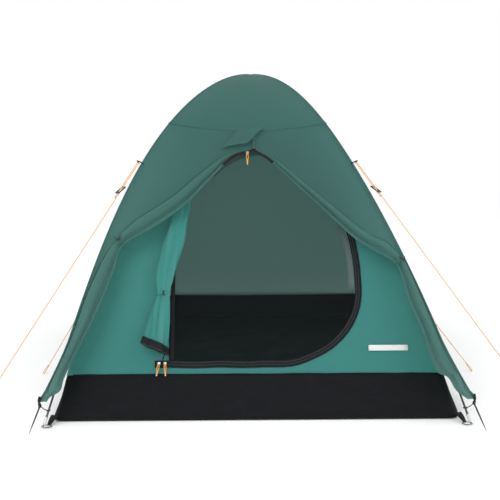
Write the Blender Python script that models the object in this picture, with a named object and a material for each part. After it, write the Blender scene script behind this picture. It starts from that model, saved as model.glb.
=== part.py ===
"""Two-person dome tent on two crossed hoop poles, with a bathtub floor, a D-shaped zipped
mesh door, a full flysheet whose front flaps are folded back, guy lines, runners and pegs.
Metres, +Z up. The origin is on the ground under the middle of the floor; the door faces -Y."""

import math

import bmesh
import bpy
from mathutils import Matrix, Vector

# Overall sizes
FLOOR_WIDTH = 1.50
FLOOR_LENGTH = 2.05
CROWN_HEIGHT = 1.31           # inner face of the flysheet over the crossing of the poles
DRAWN_WIDTH = 1.50            # floor and crown for which the front's outlines below are drawn;
DRAWN_HEIGHT = 1.31           # they stretch with the sizes above
SWAY = 0.027                  # how far the hoops lean to the left at shoulder height

# Clearance between pieces that touch, and thickness of the cloth solids
GAP = 0.0003
CLOTH = 0.0025
CANOPY_ROWS = 14              # bands that follow the hoop's curve on a panel

# Poles
FOOT_OUT_X = 0.020            # pole foot beyond the floor's corner
FOOT_OUT_Y = 0.085
POLE_DROP = 0.022             # lower pole's centre under the flysheet at the crown
FOOT_Z = 0.012                # height of the pole's open end
POLE_SECTIONS = 6
ROD_R = 0.0040
BORE_R = 0.0024
FERRULE_R = 0.0052
FERRULE_HALF = 0.030          # length of a ferrule on each side of the joint
SOCKET_PLAY = 0.00015
POLE_SIDES = 8
POLE_STEPS = 5                # straight bits between two ferrules
CORD_R = 0.0011
CORD_END = 0.060              # knot of the shock cord inside the pole's end
CORD_CLEAR = 0.010            # from that end to the cord's next bend

# Ring and pin at each corner
RING_R = 0.018
RING_WIRE_R = 0.0018
RING_Z = 0.0048
PIN_LENGTH = 0.045
RING_SIDES = 6
RING_TURN = 344               # degrees, so that the wire's end stays clear of its start
RING_STEPS = 14
PIN_BEND = 0.004              # from the ring to the straight part of the pin
TAB_IN = 0.004                # the tab is sewn this far round the floor's corner
TAB_WIDTH = 0.025
TAB_END_WIDTH = 0.009         # gathered where it goes round the ring
TAB_CLOTH = 0.0012
TAB_RISE = 0.030              # height at which the tab is sewn to the tub

# Inner tent
TUB_HEIGHT = 0.150
TUB_CORNER_R = 0.030
TUB_CLOTH = 0.0020
TUB_BEND = 0.012              # bevel between the floor and its walls
INNER_IN_X = -0.005           # canopy's line would meet the ground this far inside the floor's edge
INNER_IN_Y = 0.036
INNER_DROP = 0.048            # canopy's crown under the flysheet's crown

# D-shaped door in the front wall, seen from the front, drawn for the sizes at the top
DOOR_LEFT_DRAWN = -0.325
DOOR_RIGHT_DRAWN = 0.383
DOOR_OVER_TUB = 0.050         # from the tub's rim up to the sill
DOOR_BEND_X_DRAWN = 0.070     # where the straight sill begins to turn up
DOOR_BEND_Z_DRAWN = 0.450     # where the turn ends
DOOR_SPRING_DRAWN = 0.480     # where the arched top begins
DOOR_TOP_DRAWN = 0.980
ARC_STEPS = 10
ZIP_WIDTH = 0.022
ZIP_THICK = 0.0020
ZIP_TAIL = 0.055              # zip beyond the hinge side of the door

# Zip sliders and pulls
SLIDER_SIZE = (0.012, 0.0035, 0.011)
SLIDER_BAR_R = 0.0009
SLIDER_POST = 0.0048         # plate to the middle of the bar
SLIDER_EAR = 0.0018
PULL_RING_R = 0.0030
PULL_WIRE_R = 0.0009
PULL_LENGTH = 0.042
PULL_R = 0.0022
OUTER_SLIDER_OUT = 0.041      # sliders beyond the hinge side of the door
MESH_SLIDER_OUT = 0.018
FLY_SLIDER_DROP = 0.015       # below the top of the flysheet's opening

# Flysheet
FLY_OUT = 0.010               # flysheet outside the pole's centre line at the ground
FLY_HEM = 0.100
FLY_FLARE = 0.068             # how far the hem kicks out, as a share of the hoop's spread
FLY_FLARE_Z = 0.30            # height under which it kicks out
BUNDLE_WIDTH = 0.040
LEFT_BUNDLE = 0.020           # thickness of the cloth folded at the flap's edge
RIGHT_BUNDLE = 0.008
BUNDLE_START = 0.035          # below the peak
BUNDLE_GROWTH = 0.060
STORM_STAND = 0.002
FLAP_LEAST = 0.006            # narrowest strip of flap beside the hoop
LEFT_DRAWN = ((0.000, 0.985), (-0.086, 0.955), (-0.273, 0.771), (-0.495, 0.630), (-0.520, 0.600),
              (-0.536, 0.534), (-0.576, 0.428), (-0.613, 0.346), (-0.658, 0.258), (-0.696, 0.177),
              (-0.708, 0.135), (-0.741, 0.116), (-0.755, 0.100))
RIGHT_DRAWN = ((0.000, 0.985), (0.060, 0.944), (0.378, 0.650), (0.525, 0.560), (0.549, 0.515),
               (0.567, 0.434), (0.609, 0.328), (0.648, 0.197), (0.690, 0.170), (0.713, 0.130),
               (0.742, 0.108), (0.755, 0.100))
TIE_WIDTH = 0.014
TIE_CORNER = 3                # corner of the fold line that the tie gathers
TIE_THICK = 0.0016
STORM_DRAWN = ((0.064, 1.064), (-0.036, 1.056), (-0.100, 0.988), (-0.002, 1.000))

# Rolled door cloth beside the doorway: x, z, half width, half depth
ROLL_DRAWN = ((-0.291, 0.725, 0.030, 0.012), (-0.311, 0.631, 0.037, 0.016), (-0.333, 0.538, 0.035, 0.018),
              (-0.344, 0.481, 0.031, 0.018), (-0.351, 0.427, 0.024, 0.016), (-0.359, 0.371, 0.034, 0.018),
              (-0.367, 0.298, 0.042, 0.020), (-0.373, 0.232, 0.047, 0.021))
ROLL_SIDES = 10
ROLL_TIE = 4                  # station of the roll that its tie gathers
ROLL_STAND = 0.0050
TIE_PLAY = 0.0024

# Guy lines, runners and pegs
GUY_R = 0.0015
GUY_SIDES_RES = 2
GUY_SPREAD = 0.54             # how far down the front hoop the line leaves the flysheet
GUY_STAND = 0.014             # from the flysheet to the eye of the loop
GUY_PEG_OUT = (0.255, 0.300)  # front peg beyond the floor's corner
SIDE_SPREAD = 0.82
SIDE_ATTACH_Y = -0.10
SIDE_PEG_Y = -0.29
SIDE_PEG_OUT = (0.160, 0.220) # left and right end loops beyond the floor's edge
SIDE_LOOP_Z = 0.0075          # middle of the end loop
GUY_STEPS = 20
STRAND_GAP = 0.008            # between the two strands above the runner
LOOP_R = 0.007
LOOP_FLARE = 0.050            # where the strand begins to spread towards its end loop
LOOP_BACK = 0.036             # cord's end back along the strand
RUNNER_DOWN = 0.150           # runner's middle below the eye, along the line
RUNNER_SIZE = (0.020, 0.0040, 0.046)
RUNNER_WINDOW = (0.0135, 0.030)
RUNNER_PLAY = 0.0006
PEG_R = 0.0020
CORNER_PEG_R = 0.0035
PEG_HOOK_R = 0.007
PEG_SIDES = 6
PEG_POINT = 0.35              # point's radius as a share of the shank's
CORNER_PEG_TIP = (0.056, 0.155)   # tip beyond the floor's corner
CORNER_PEG_HEAD = (0.030, 0.075, 0.080)
GUY_PEG_LENGTH = 0.150
GUY_PEG_Z = 0.036

# Derived sizes
FOOT_X = FLOOR_WIDTH / 2 + FOOT_OUT_X
FOOT_Y = FLOOR_LENGTH / 2 + FOOT_OUT_Y
POLE_STACK = 2 * FERRULE_R + 2 * GAP
WIDEN, HEIGHTEN = FLOOR_WIDTH / DRAWN_WIDTH, CROWN_HEIGHT / DRAWN_HEIGHT
DOOR_LEFT, DOOR_RIGHT, DOOR_BEND_X = (x * WIDEN for x in (DOOR_LEFT_DRAWN, DOOR_RIGHT_DRAWN,
                                                          DOOR_BEND_X_DRAWN))
DOOR_BEND_Z, DOOR_SPRING_Z, DOOR_TOP = (z * HEIGHTEN for z in (DOOR_BEND_Z_DRAWN, DOOR_SPRING_DRAWN,
                                                               DOOR_TOP_DRAWN))
DOOR_SILL = TUB_HEIGHT + DOOR_OVER_TUB
LEFT_FOLD, RIGHT_FOLD, STORM_FLAP = (tuple((x * WIDEN, z * HEIGHTEN) for x, z in line)
                                     for line in (LEFT_DRAWN, RIGHT_DRAWN, STORM_DRAWN))
DOOR_ROLL = tuple((x * WIDEN, z * HEIGHTEN, wide, deep) for x, z, wide, deep in ROLL_DRAWN)
PEAK_Z = LEFT_FOLD[0][1]      # top of the opening between the flaps
HALF = ((-1, "left"), (1, "right"))
ENDS = ((-1, "front"), (1, "rear"))


def sway(z):
    """Sideways lean of everything that hangs on the hoops, at a height."""
    share = min(max(z / CROWN_HEIGHT, 0.0), 1.0) ** 2
    return -SWAY * 4 * share * (1 - share)


class Hoop:
    """A parabolic arch from corner to corner: half spread in x and y at the ground, and rise."""

    def __init__(self, half_x, half_y, rise, flare=0.0):
        self.half_x, self.half_y, self.rise, self.flare = half_x, half_y, rise, flare

    def spread(self, z):
        return math.sqrt(max(0.0, 1 - z / self.rise))

    def height(self, spread):
        return self.rise * (1 - spread * spread)

    def reach(self, spread):
        """Spread with the hem's kick added to it."""
        low = max(0.0, FLY_FLARE_Z - self.height(spread)) / FLY_FLARE_Z
        return spread + self.flare * low ** 1.5

    def point(self, share_x, share_y, spread):
        z = self.height(spread)
        wide = self.reach(spread)
        return Vector((share_x * self.half_x * wide + sway(z), share_y * self.half_y * wide, z))


FLY = Hoop(FOOT_X + FLY_OUT, FOOT_Y + FLY_OUT, CROWN_HEIGHT, FLY_FLARE)
LOWER_POLE = Hoop(FOOT_X, FOOT_Y, CROWN_HEIGHT - POLE_DROP)
UPPER_POLE = Hoop(FOOT_X, FOOT_Y, CROWN_HEIGHT - POLE_DROP + POLE_STACK)
INNER = Hoop(FLOOR_WIDTH / 2 - INNER_IN_X, FLOOR_LENGTH / 2 - INNER_IN_Y, CROWN_HEIGHT - INNER_DROP)


def clear_scene():
    for obj in list(bpy.data.objects):
        bpy.data.objects.remove(obj, do_unlink=True)


def material(name, colour, roughness, metallic=0.0):
    found = bpy.data.materials.get(name)
    if found:
        return found
    made = bpy.data.materials.new(name)
    made.use_nodes = True
    shader = made.node_tree.nodes["Principled BSDF"]
    shader.inputs["Base Color"].default_value = (*colour, 1.0)
    shader.inputs["Roughness"].default_value = roughness
    shader.inputs["Metallic"].default_value = metallic
    made.diffuse_color = (*colour, 1.0)
    return made


def fly_cloth():
    return material("fly_cloth", (0.062, 0.155, 0.138), 0.55)


def canopy_cloth():
    return material("canopy_cloth", (0.064, 0.223, 0.205), 0.6)


def tub_cloth():
    return material("tub_cloth", (0.010, 0.013, 0.016), 0.45)


def mesh_cloth():
    return material("mesh_cloth", (0.055, 0.103, 0.095), 0.8)


def black_webbing():
    return material("black_webbing", (0.016, 0.017, 0.019), 0.75)


def zip_tape():
    return material("zip_tape", (0.020, 0.022, 0.026), 0.6)


def orange_cord():
    return material("orange_cord", (0.80, 0.235, 0.030), 0.6)


def fibreglass():
    return material("fibreglass", (0.018, 0.018, 0.020), 0.35)


def bright_steel():
    return material("bright_steel", (0.58, 0.57, 0.55), 0.3, 1.0)


def dark_steel():
    return material("dark_steel", (0.13, 0.12, 0.12), 0.4, 1.0)


def black_plastic():
    return material("black_plastic", (0.015, 0.015, 0.016), 0.4)


def add_mesh(name, points, faces, skin):
    """A new object from points and faces, with its faces turned outwards."""
    mesh = bpy.data.meshes.new(name)
    mesh.from_pydata([tuple(point) for point in points], [], faces)
    shape = bmesh.new()
    shape.from_mesh(mesh)
    bmesh.ops.recalc_face_normals(shape, faces=shape.faces)
    shape.to_mesh(mesh)
    shape.free()
    mesh.shade_smooth()
    mesh.set_sharp_from_angle(angle=math.radians(35))
    mesh.materials.append(skin)
    obj = bpy.data.objects.new(name, mesh)
    bpy.context.scene.collection.objects.link(obj)
    return obj


def loft(name, loops, skin, capped=True):
    """A closed solid through loops of equal length. Without caps the last loop joins the first."""
    count = len(loops[0])
    points = [point for loop in loops for point in loop]
    faces = []
    rounds = len(loops) - 1 if capped else len(loops)
    for row in range(rounds):
        here, there = row * count, (row + 1) % len(loops) * count
        for side in range(count):
            after = (side + 1) % count
            faces.append((here + side, here + after, there + after, there + side))
    if capped:
        faces.append(tuple(reversed(range(count))))
        faces.append(tuple(range((len(loops) - 1) * count, len(loops) * count)))
    return add_mesh(name, points, faces, skin)


def directions(path):
    """Unit direction at each point of a path."""
    found = []
    for index in range(len(path)):
        before, after = path[max(index - 1, 0)], path[min(index + 1, len(path) - 1)]
        found.append((after - before).normalized())
    return found


def rings_along(path, radii, sides, up=Vector((0, 0, 1))):
    """Loops of points round a path, turned as little as possible from one to the next."""
    headings = directions(path)
    side = headings[0].cross(up)
    side = side.normalized() if side.length > 0.05 else headings[0].orthogonal().normalized()
    loops = []
    for point, heading, radius in zip(path, headings, radii):
        side = (side - heading * side.dot(heading)).normalized()
        other = heading.cross(side)
        loops.append([point + (side * math.cos(turn) + other * math.sin(turn)) * radius
                      for turn in (math.tau * step / sides for step in range(sides))])
    return loops


def wire(name, path, radius, sides, skin):
    """A solid round wire along a path."""
    return loft(name, rings_along(path, [radius] * len(path), sides), skin)


def sheet(name, rows, skin, thick=CLOTH, lift=0.0, extra=None, lifts=None):
    """A cloth panel: a grid of points on its inner face, thickened outwards from the tent's middle.
    lift moves both faces outwards, lifts does so column by column; extra thickens a column, row by row."""
    count_u, count_v = len(rows), len(rows[0])
    middle = Vector((0, 0, CROWN_HEIGHT * 0.3))
    inner, outer = [], []
    for u in range(count_u):
        for v in range(count_v):
            along = rows[min(u + 1, count_u - 1)][v] - rows[max(u - 1, 0)][v]
            across = rows[u][min(v + 1, count_v - 1)] - rows[u][max(v - 1, 0)]
            normal = along.cross(across).normalized()
            if normal.dot(rows[u][v] - middle) < 0:
                normal.negate()
            more = extra[u][v] if extra else 0.0
            base = lifts[v] if lifts else lift
            inner.append(rows[u][v] + normal * base)
            outer.append(rows[u][v] + normal * (base + thick + more))
    total = count_u * count_v
    faces = []
    for u in range(count_u - 1):
        for v in range(count_v - 1):
            a = u * count_v + v
            quad = (a, a + 1, a + count_v + 1, a + count_v)
            faces.append(quad)
            faces.append(tuple(total + corner for corner in reversed(quad)))
    rim = [v for v in range(count_v)]
    rim += [u * count_v + count_v - 1 for u in range(1, count_u)]
    rim += [(count_u - 1) * count_v + v for v in range(count_v - 2, -1, -1)]
    rim += [u * count_v for u in range(count_u - 2, 0, -1)]
    for here, there in zip(rim, rim[1:] + rim[:1]):
        faces.append((here, there, total + there, total + here))
    return add_mesh(name, inner + outer, faces, skin)


def prism(name, outline, near_y, far_y):
    """A hidden cutter: an outline in x and z, extruded along y."""
    loops = [[Vector((x, y, z)) for x, z in outline] for y in (near_y, far_y)]
    cutter = loft(name, loops, black_plastic())
    cutter.hide_render = True
    cutter.display_type = "WIRE"
    return cutter


def cut(obj, cutter, operation="DIFFERENCE"):
    modifier = obj.modifiers.new(operation.lower(), "BOOLEAN")
    modifier.operation = operation
    modifier.object = cutter
    modifier.solver = "EXACT"
    return obj


def spreads(hoop, low_z, first=0.006):
    """Spreads from the crown down to a height, evenly spaced."""
    last = hoop.spread(low_z)
    return [first + (last - first) * row / CANOPY_ROWS for row in range(CANOPY_ROWS + 1)]


def side_rows(hoop, side, low_z):
    """Grid of a side panel between its two hoops."""
    rows = []
    for spread in spreads(hoop, low_z):
        share = 1 - GAP / (hoop.half_y * spread)
        rows.append([hoop.point(side, -share, spread), hoop.point(side, share, spread)])
    return rows


def end_rows(hoop, end, low_z):
    """Grid of the front or rear panel between its two hoops."""
    rows = []
    for spread in spreads(hoop, low_z):
        share = 1 - GAP / (hoop.half_x * spread)
        rows.append([hoop.point(-share, end, spread), hoop.point(share, end, spread)])
    return rows


def arc_lengths(path):
    total, found = 0.0, [0.0]
    for here, there in zip(path, path[1:]):
        total += (there - here).length
        found.append(total)
    return found


def pole_curve(hoop, hand):
    """Fine points along one pole, from its front foot to its rear foot."""
    last = hoop.spread(FOOT_Z)
    steps = 400
    return [pole_point(hoop, hand, last * (2 * step / steps - 1)) for step in range(steps + 1)]


def pole_point(hoop, hand, spread):
    """Point of a pole: negative spreads are on the front half, hand is the front foot's side."""
    z = hoop.height(spread)
    return Vector((-hand * hoop.half_x * spread + sway(z), hoop.half_y * spread, z))


def at_length(path, lengths, wanted):
    """Point at a length along a fine path."""
    for index in range(1, len(path)):
        if lengths[index] >= wanted:
            share = (wanted - lengths[index - 1]) / (lengths[index] - lengths[index - 1])
            return path[index - 1].lerp(path[index], share)
    return path[-1].copy()


def make_pole(hoop, hand, letter):
    """Six fibreglass sections with a glued ferrule on the upper end of each, and the shock cord."""
    path = pole_curve(hoop, hand)
    lengths = arc_lengths(path)
    section = lengths[-1] / POLE_SECTIONS

    def here(length):
        return at_length(path, lengths, length)

    cord_path = []
    for number in range(POLE_SECTIONS):
        start, end = section * number, section * (number + 1)
        first = 0.0 if number == 0 else FERRULE_HALF
        marks = [start + GAP if number else 0.0]
        marks += [start + first] if number else [FERRULE_HALF]
        low = marks[-1]
        high = end - FERRULE_HALF
        marks += [low + (high - low) * step / POLE_STEPS for step in range(1, POLE_STEPS + 1)]
        marks += [end]
        stations = [(here(mark), ROD_R, BORE_R) for mark in marks]
        if number == 0:
            stations[0] = (here(marks[0]), FERRULE_R, BORE_R)
            stations[1:2] = [(here(marks[1]), FERRULE_R, BORE_R), (here(marks[1]), ROD_R, BORE_R)]
        if number < POLE_SECTIONS - 1:
            socket = ROD_R + SOCKET_PLAY
            stations[-2:] = [(here(high), ROD_R, BORE_R), (here(high), FERRULE_R, BORE_R),
                             (here(end), FERRULE_R, BORE_R), (here(end), FERRULE_R, socket),
                             (here(end + FERRULE_HALF), FERRULE_R, socket)]
        else:
            stations[-2:] = [(here(high), ROD_R, BORE_R), (here(high), FERRULE_R, BORE_R),
                             (here(end), FERRULE_R, BORE_R)]
        straight_rings(f"pole_{letter}_section_{number + 1}", stations, fibreglass())
        cord_path += marks[:-1]
    first, last = CORD_END + CORD_CLEAR, lengths[-1] - CORD_END - CORD_CLEAR
    cord_marks = [CORD_END] + [mark for mark in cord_path if first < mark < last]
    cord_marks += [lengths[-1] - CORD_END]
    wire(f"shock_cord_{letter}", [here(mark) for mark in cord_marks], CORD_R, 6, black_webbing())


def straight_rings(name, stations, skin):
    """A tube whose stations may share a point where its radius steps."""
    path = [station[0] for station in stations]
    headings = []
    for index, point in enumerate(path):
        before = next((p for p in reversed(path[:index]) if (p - point).length > 1e-6), None)
        after = next((p for p in path[index + 1:] if (p - point).length > 1e-6), None)
        headings.append(((after or point) - (before or point)).normalized())
    plane = Vector((path[-1].y - path[0].y, path[0].x - path[-1].x, 0)).normalized()
    outside, inside = [], []
    for (point, outer, inner), heading in zip(stations, headings):
        side = (plane - heading * plane.dot(heading)).normalized()
        other = heading.cross(side)
        turns = [math.tau * step / POLE_SIDES for step in range(POLE_SIDES)]
        spokes = [side * math.cos(turn) + other * math.sin(turn) for turn in turns]
        outside.append([point + spoke * outer for spoke in spokes])
        inside.append([point + spoke * inner for spoke in spokes])
    keep_out = [index for index in range(len(stations)) if index == 0 or moved(stations, index, 1)]
    keep_in = [index for index in range(len(stations)) if index == 0 or moved(stations, index, 2)]
    loops = [outside[index] for index in keep_out] + [inside[index] for index in reversed(keep_in)]
    return loft(name, loops, skin, capped=False)


def moved(stations, index, column):
    """Whether a station differs from the one before it in place or in the radius of a column."""
    here, before = stations[index], stations[index - 1]
    return (here[0] - before[0]).length > 1e-6 or abs(here[column] - before[column]) > 1e-6


def make_corner(hoop, hand_x, hand_y, place):
    """Wire ring and pin that the pole stands on, and the webbing tab that holds the ring."""
    foot = hoop.point(hand_x, hand_y, hoop.spread(RING_Z))
    tangent = (hoop.point(hand_x, hand_y, hoop.spread(FOOT_Z + 0.03)) - foot).normalized()
    outward = Vector((hand_x * hoop.half_x, hand_y * hoop.half_y, 0)).normalized()
    centre = Vector((foot.x, foot.y, RING_Z)) - outward * RING_R
    across = Vector((-outward.y, outward.x, 0))
    turns = [math.radians(RING_TURN) * step / RING_STEPS for step in range(RING_STEPS + 1)]
    path = [foot + tangent * PIN_LENGTH, foot + tangent * PIN_BEND]
    path += [centre + (outward * math.cos(turn) + across * math.sin(turn)) * RING_R for turn in turns]
    wire(f"ring_pin_{place}", path, RING_WIRE_R, RING_SIDES, bright_steel())

    inner_wire = centre - outward * RING_R
    loop_r = RING_WIRE_R + 4 * GAP + TAB_CLOTH / 2
    corner = Vector((hand_x * (FLOOR_WIDTH / 2 - TAB_IN), hand_y * (FLOOR_LENGTH / 2 + TAB_IN), TAB_RISE))
    top = Vector((inner_wire.x, inner_wire.y, RING_Z + loop_r))
    middle = [corner, corner.lerp(top, 0.5) + Vector((0, 0, -0.004)), top - outward * 0.004]
    for turn in (90, 45, 0, -45, -90):
        angle = math.radians(turn)
        rise = Vector((0, 0, math.sin(angle) * loop_r))
        middle.append(inner_wire + outward * math.cos(angle) * loop_r + rise)
    middle.append(middle[-1] - outward * 0.012)
    widths = [TAB_WIDTH, TAB_WIDTH] + [TAB_END_WIDTH] * (len(middle) - 2)
    ribbon(f"corner_tab_{place}", middle, across, widths, TAB_CLOTH, black_webbing())


def ribbon(name, path, side, widths, thick, skin):
    """A flat band along a path. side is the direction of its widths."""
    loops = []
    for point, heading, width in zip(path, directions(path), widths):
        normal = side.cross(heading).normalized()
        half_w, half_t = side * width / 2, normal * thick / 2
        loops.append([point - half_w - half_t, point + half_w - half_t, point + half_w + half_t,
                      point - half_w + half_t])
    return loft(name, loops, skin)


def rounded_rectangle(half_x, half_y, radius, z):
    """Corner points of a rectangle with rounded corners, leaning with the hoops."""
    found = []
    for quarter in range(4):
        sign_x, sign_y = ((1, 1), (-1, 1), (-1, -1), (1, -1))[quarter]
        centre = (sign_x * (half_x - radius), sign_y * (half_y - radius))
        for step in range(4):
            turn = math.radians(90 * quarter + 30 * step)
            found.append(Vector((centre[0] + radius * math.cos(turn) + sway(z),
                                 centre[1] + radius * math.sin(turn), z)))
    return found


def make_tub():
    """Waterproof floor with its walls turned up, like a shallow tray."""
    rim = INNER.spread(TUB_HEIGHT)
    rim_x, rim_y = INNER.half_x * rim, INNER.half_y * rim
    half_x, half_y = FLOOR_WIDTH / 2, FLOOR_LENGTH / 2
    low = TUB_BEND
    loops = [rounded_rectangle(half_x - low, half_y - low, TUB_CORNER_R, 0.0),
             rounded_rectangle(half_x, half_y, TUB_CORNER_R, low),
             rounded_rectangle(rim_x, rim_y, TUB_CORNER_R, TUB_HEIGHT - GAP),
             rounded_rectangle(rim_x - TUB_CLOTH, rim_y - TUB_CLOTH, TUB_CORNER_R, TUB_HEIGHT - GAP),
             rounded_rectangle(half_x - TUB_CLOTH, half_y - TUB_CLOTH, TUB_CORNER_R, low),
             rounded_rectangle(half_x - low, half_y - low, TUB_CORNER_R, TUB_CLOTH)]
    loft("floor_tub", loops, tub_cloth())


def door_path(grow, steps=ARC_STEPS):
    """Edge of the D from the bottom of the hinge side, along the sill, up the free side and over."""
    path = [(DOOR_LEFT - grow, DOOR_SILL - grow), (DOOR_BEND_X, DOOR_SILL - grow)]
    radius_x, radius_z = DOOR_RIGHT - DOOR_BEND_X + grow, DOOR_BEND_Z - DOOR_SILL + grow
    for step in range(1, steps + 1):
        turn = math.radians(90) * step / steps
        path.append((DOOR_BEND_X + radius_x * math.sin(turn), DOOR_BEND_Z - radius_z * math.cos(turn)))
    middle_x = (DOOR_LEFT + DOOR_RIGHT) / 2
    half, rise = (DOOR_RIGHT - DOOR_LEFT) / 2 + grow, DOOR_TOP - DOOR_SPRING_Z + grow
    for step in range(2 * steps + 1):
        turn = math.radians(180) * step / (2 * steps)
        path.append((middle_x + half * math.cos(turn), DOOR_SPRING_Z + rise * math.sin(turn)))
    return path


def zip_band():
    """Outline of the zip: along the sill, up the free side and over to the hinge side's shoulder."""
    inside, outside = door_path(GAP * 4), door_path(GAP * 4 + ZIP_WIDTH)
    last = len(inside) - ARC_STEPS // 2
    tail = DOOR_LEFT - ZIP_TAIL
    inside = [(tail, inside[0][1])] + inside[1:last]
    outside = [(tail, outside[0][1])] + outside[1:last]
    return inside + outside[::-1]


def make_inner_tent():
    """Four canopy walls standing on the tub's rim; the front one has the doorway cut in it."""
    make_tub()
    low = TUB_HEIGHT
    for side, word in HALF:
        sheet(f"inner_wall_{word}", side_rows(INNER, side, low), canopy_cloth())
    sheet("inner_wall_rear", end_rows(INNER, 1, low), canopy_cloth())
    near, far = -FLOOR_LENGTH, -0.05
    front = sheet("inner_wall_front", end_rows(INNER, -1, low), canopy_cloth())
    cut(front, prism("cutter_doorway", door_path(0.0), near, far))
    panel = sheet("mesh_door", end_rows(INNER, -1, low), mesh_cloth())
    cut(panel, prism("cutter_mesh", door_path(-2 * GAP), near, far), "INTERSECT")
    track = sheet("door_zip", end_rows(INNER, -1, low), zip_tape(), ZIP_THICK, CLOTH + GAP)
    cut(track, prism("cutter_zip", zip_band(), near, far), "INTERSECT")


def front_frame(hoop, z, lift):
    """Point on the front panel's middle line at a height, lifted off it, and its downhill direction."""
    spread = hoop.spread(z)
    here = hoop.point(0, -1, spread)
    down = (hoop.point(0, -1, hoop.spread(z - 0.01)) - here)
    down = Vector((0, down.y, down.z)).normalized()
    normal = Vector((0, down.z, -down.y))
    if normal.y > 0:
        normal.negate()
    return here + normal * lift, down, normal


def frame_ring(name, corners, skin):
    """A closed frame of four bars. corners are (outer point, inner point, half height direction)."""
    loops = [[outer - rise, outer + rise, inner + rise, inner - rise] for outer, inner, rise in corners]
    return loft(name, loops, skin, capped=False)


def make_slider(name, base, down, normal):
    """Zip slider: a plate on the zip with a bridge that carries the pull. Returns the bridge's bar."""
    wide, thick, tall = SLIDER_SIZE
    across = Vector((1, 0, 0))
    half, bar = wide / 2, thick + SLIDER_POST
    corners = []
    for hand, high in ((-1, False), (1, False), (1, True), (-1, True)):
        inner_x, rise = half - SLIDER_EAR, SLIDER_BAR_R if high else tall / 2
        low_n, high_n = (bar + SLIDER_BAR_R, bar - SLIDER_BAR_R) if high else (0.0, thick)
        corners.append((base + across * hand * half + normal * low_n,
                        base + across * hand * inner_x + normal * high_n, down * rise))
    frame_ring(name, corners, bright_steel())
    return base + normal * bar


def make_pull(name, bar, down):
    """Wire eye round the slider's bar that runs on into a moulded cord tail."""
    across = Vector((1, 0, 0)).cross(down)
    centre = bar + down * (PULL_RING_R - PULL_WIRE_R - SLIDER_BAR_R - 2 * GAP)
    steps = 9
    path, radii = [], []
    for step in range(steps + 1):
        turn = math.radians(50 + 300 * step / steps)
        path.append(centre + (down * math.cos(turn) + across * math.sin(turn)) * PULL_RING_R)
        radii.append(PULL_WIRE_R)
    top = centre + down * (PULL_RING_R + 2 * PULL_WIRE_R)
    for share, size in ((0.0, 0.5), (0.06, 1.0), (0.62, 1.0), (0.66, 1.35), (0.95, 1.35), (1.0, 0.7)):
        path.append(top + down * PULL_LENGTH * share)
        radii.append(PULL_R * size)
    body = loft(name, rings_along(path, radii, 8, Vector((1, 0, 0))), orange_cord())
    body.data.transform(Matrix.Translation(-bar))
    body.location = bar
    return body


def make_sliders():
    """Sliders of the door's two zips, and of the flysheet's, each with a swinging pull."""
    lift = CLOTH + GAP + ZIP_THICK + GAP
    middle = DOOR_SILL - GAP * 4 - ZIP_WIDTH / 2
    for name, out in (("outer", OUTER_SLIDER_OUT), ("mesh", MESH_SLIDER_OUT)):
        base, down, normal = front_frame(INNER, middle, lift)
        bar = make_slider(f"{name}_zip_slider", Vector((DOOR_LEFT - out, base.y, base.z)), down, normal)
        make_pull(f"{name}_zip_pull", bar, down)
    base, _, _ = front_frame(FLY, PEAK_Z - FLY_SLIDER_DROP, 0.0)
    down = Vector((0, 0, -1))
    bar = make_slider("fly_zip_slider", base, down, Vector((0, -1, 0)))
    make_pull("fly_zip_pull", bar, down)


def between(corners, z):
    """x of a fold line at a height, along straight runs between its corners."""
    for (x_high, high), (x_low, low) in zip(corners, corners[1:]):
        if low <= z <= high:
            return x_high + (x_low - x_high) * (high - z) / (high - low)
    return corners[0][0] if z > corners[0][1] else corners[-1][0]


def flap_rows(side, fold):
    """Grid of a front half: from its hoop to the middle seam, or below the peak to the fold."""
    corners = [z for _, z in fold]
    heights = [FLY.height(spread) for spread in spreads(FLY, FLY_HEM)]
    heights = [z for z in heights if min(abs(z - corner) for corner in corners) > 0.012]
    rows = []
    for z in sorted(heights + corners, reverse=True):
        spread = FLY.spread(z)
        outer = FLY.point(side * (1 - GAP / (FLY.half_x * spread)), -1, spread)
        inner = outer.copy()
        if z > PEAK_Z - GAP:
            inner.x = side * GAP + sway(z)
        else:
            inner.x = side * min(side * between(fold, z), side * outer.x - FLAP_LEAST)
        width = min(BUNDLE_WIDTH, abs(inner.x - outer.x) * 0.6)
        edge = inner + (outer - inner).normalized() * width
        half = inner.lerp(edge, 0.5)
        rows.append([outer, edge, half, inner])
    return rows


def flap_bulge(side, z):
    """Extra thickness of a front half at each column of its grid, for the cloth folded at its edge."""
    thick = LEFT_BUNDLE if side < 0 else RIGHT_BUNDLE
    thick *= min(1.0, max(0.0, (PEAK_Z - BUNDLE_START - z) / BUNDLE_GROWTH))
    return [0.0, 0.0, thick, thick * 0.4]


def make_fly():
    """Flysheet: sides, rear and two front halves whose loose edges are folded back."""
    low = FLY_HEM
    for side, word in HALF:
        sheet(f"fly_{word}", side_rows(FLY, side, low), fly_cloth())
    sheet("fly_rear", end_rows(FLY, 1, low), fly_cloth())
    for (side, word), fold in zip(HALF, (LEFT_FOLD, RIGHT_FOLD)):
        rows = flap_rows(side, fold)
        sheet(f"fly_front_{word}", rows, fly_cloth(), extra=[flap_bulge(side, row[0].z) for row in rows])
    layer = sheet("storm_flap", end_rows(FLY, -1, FLY_HEM), fly_cloth(), CLOTH, CLOTH + STORM_STAND)
    outline = [(x + sway(z), z) for x, z in STORM_FLAP]
    cut(layer, prism("cutter_storm_flap", outline, -FLOOR_LENGTH, -0.05), "INTERSECT")


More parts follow.
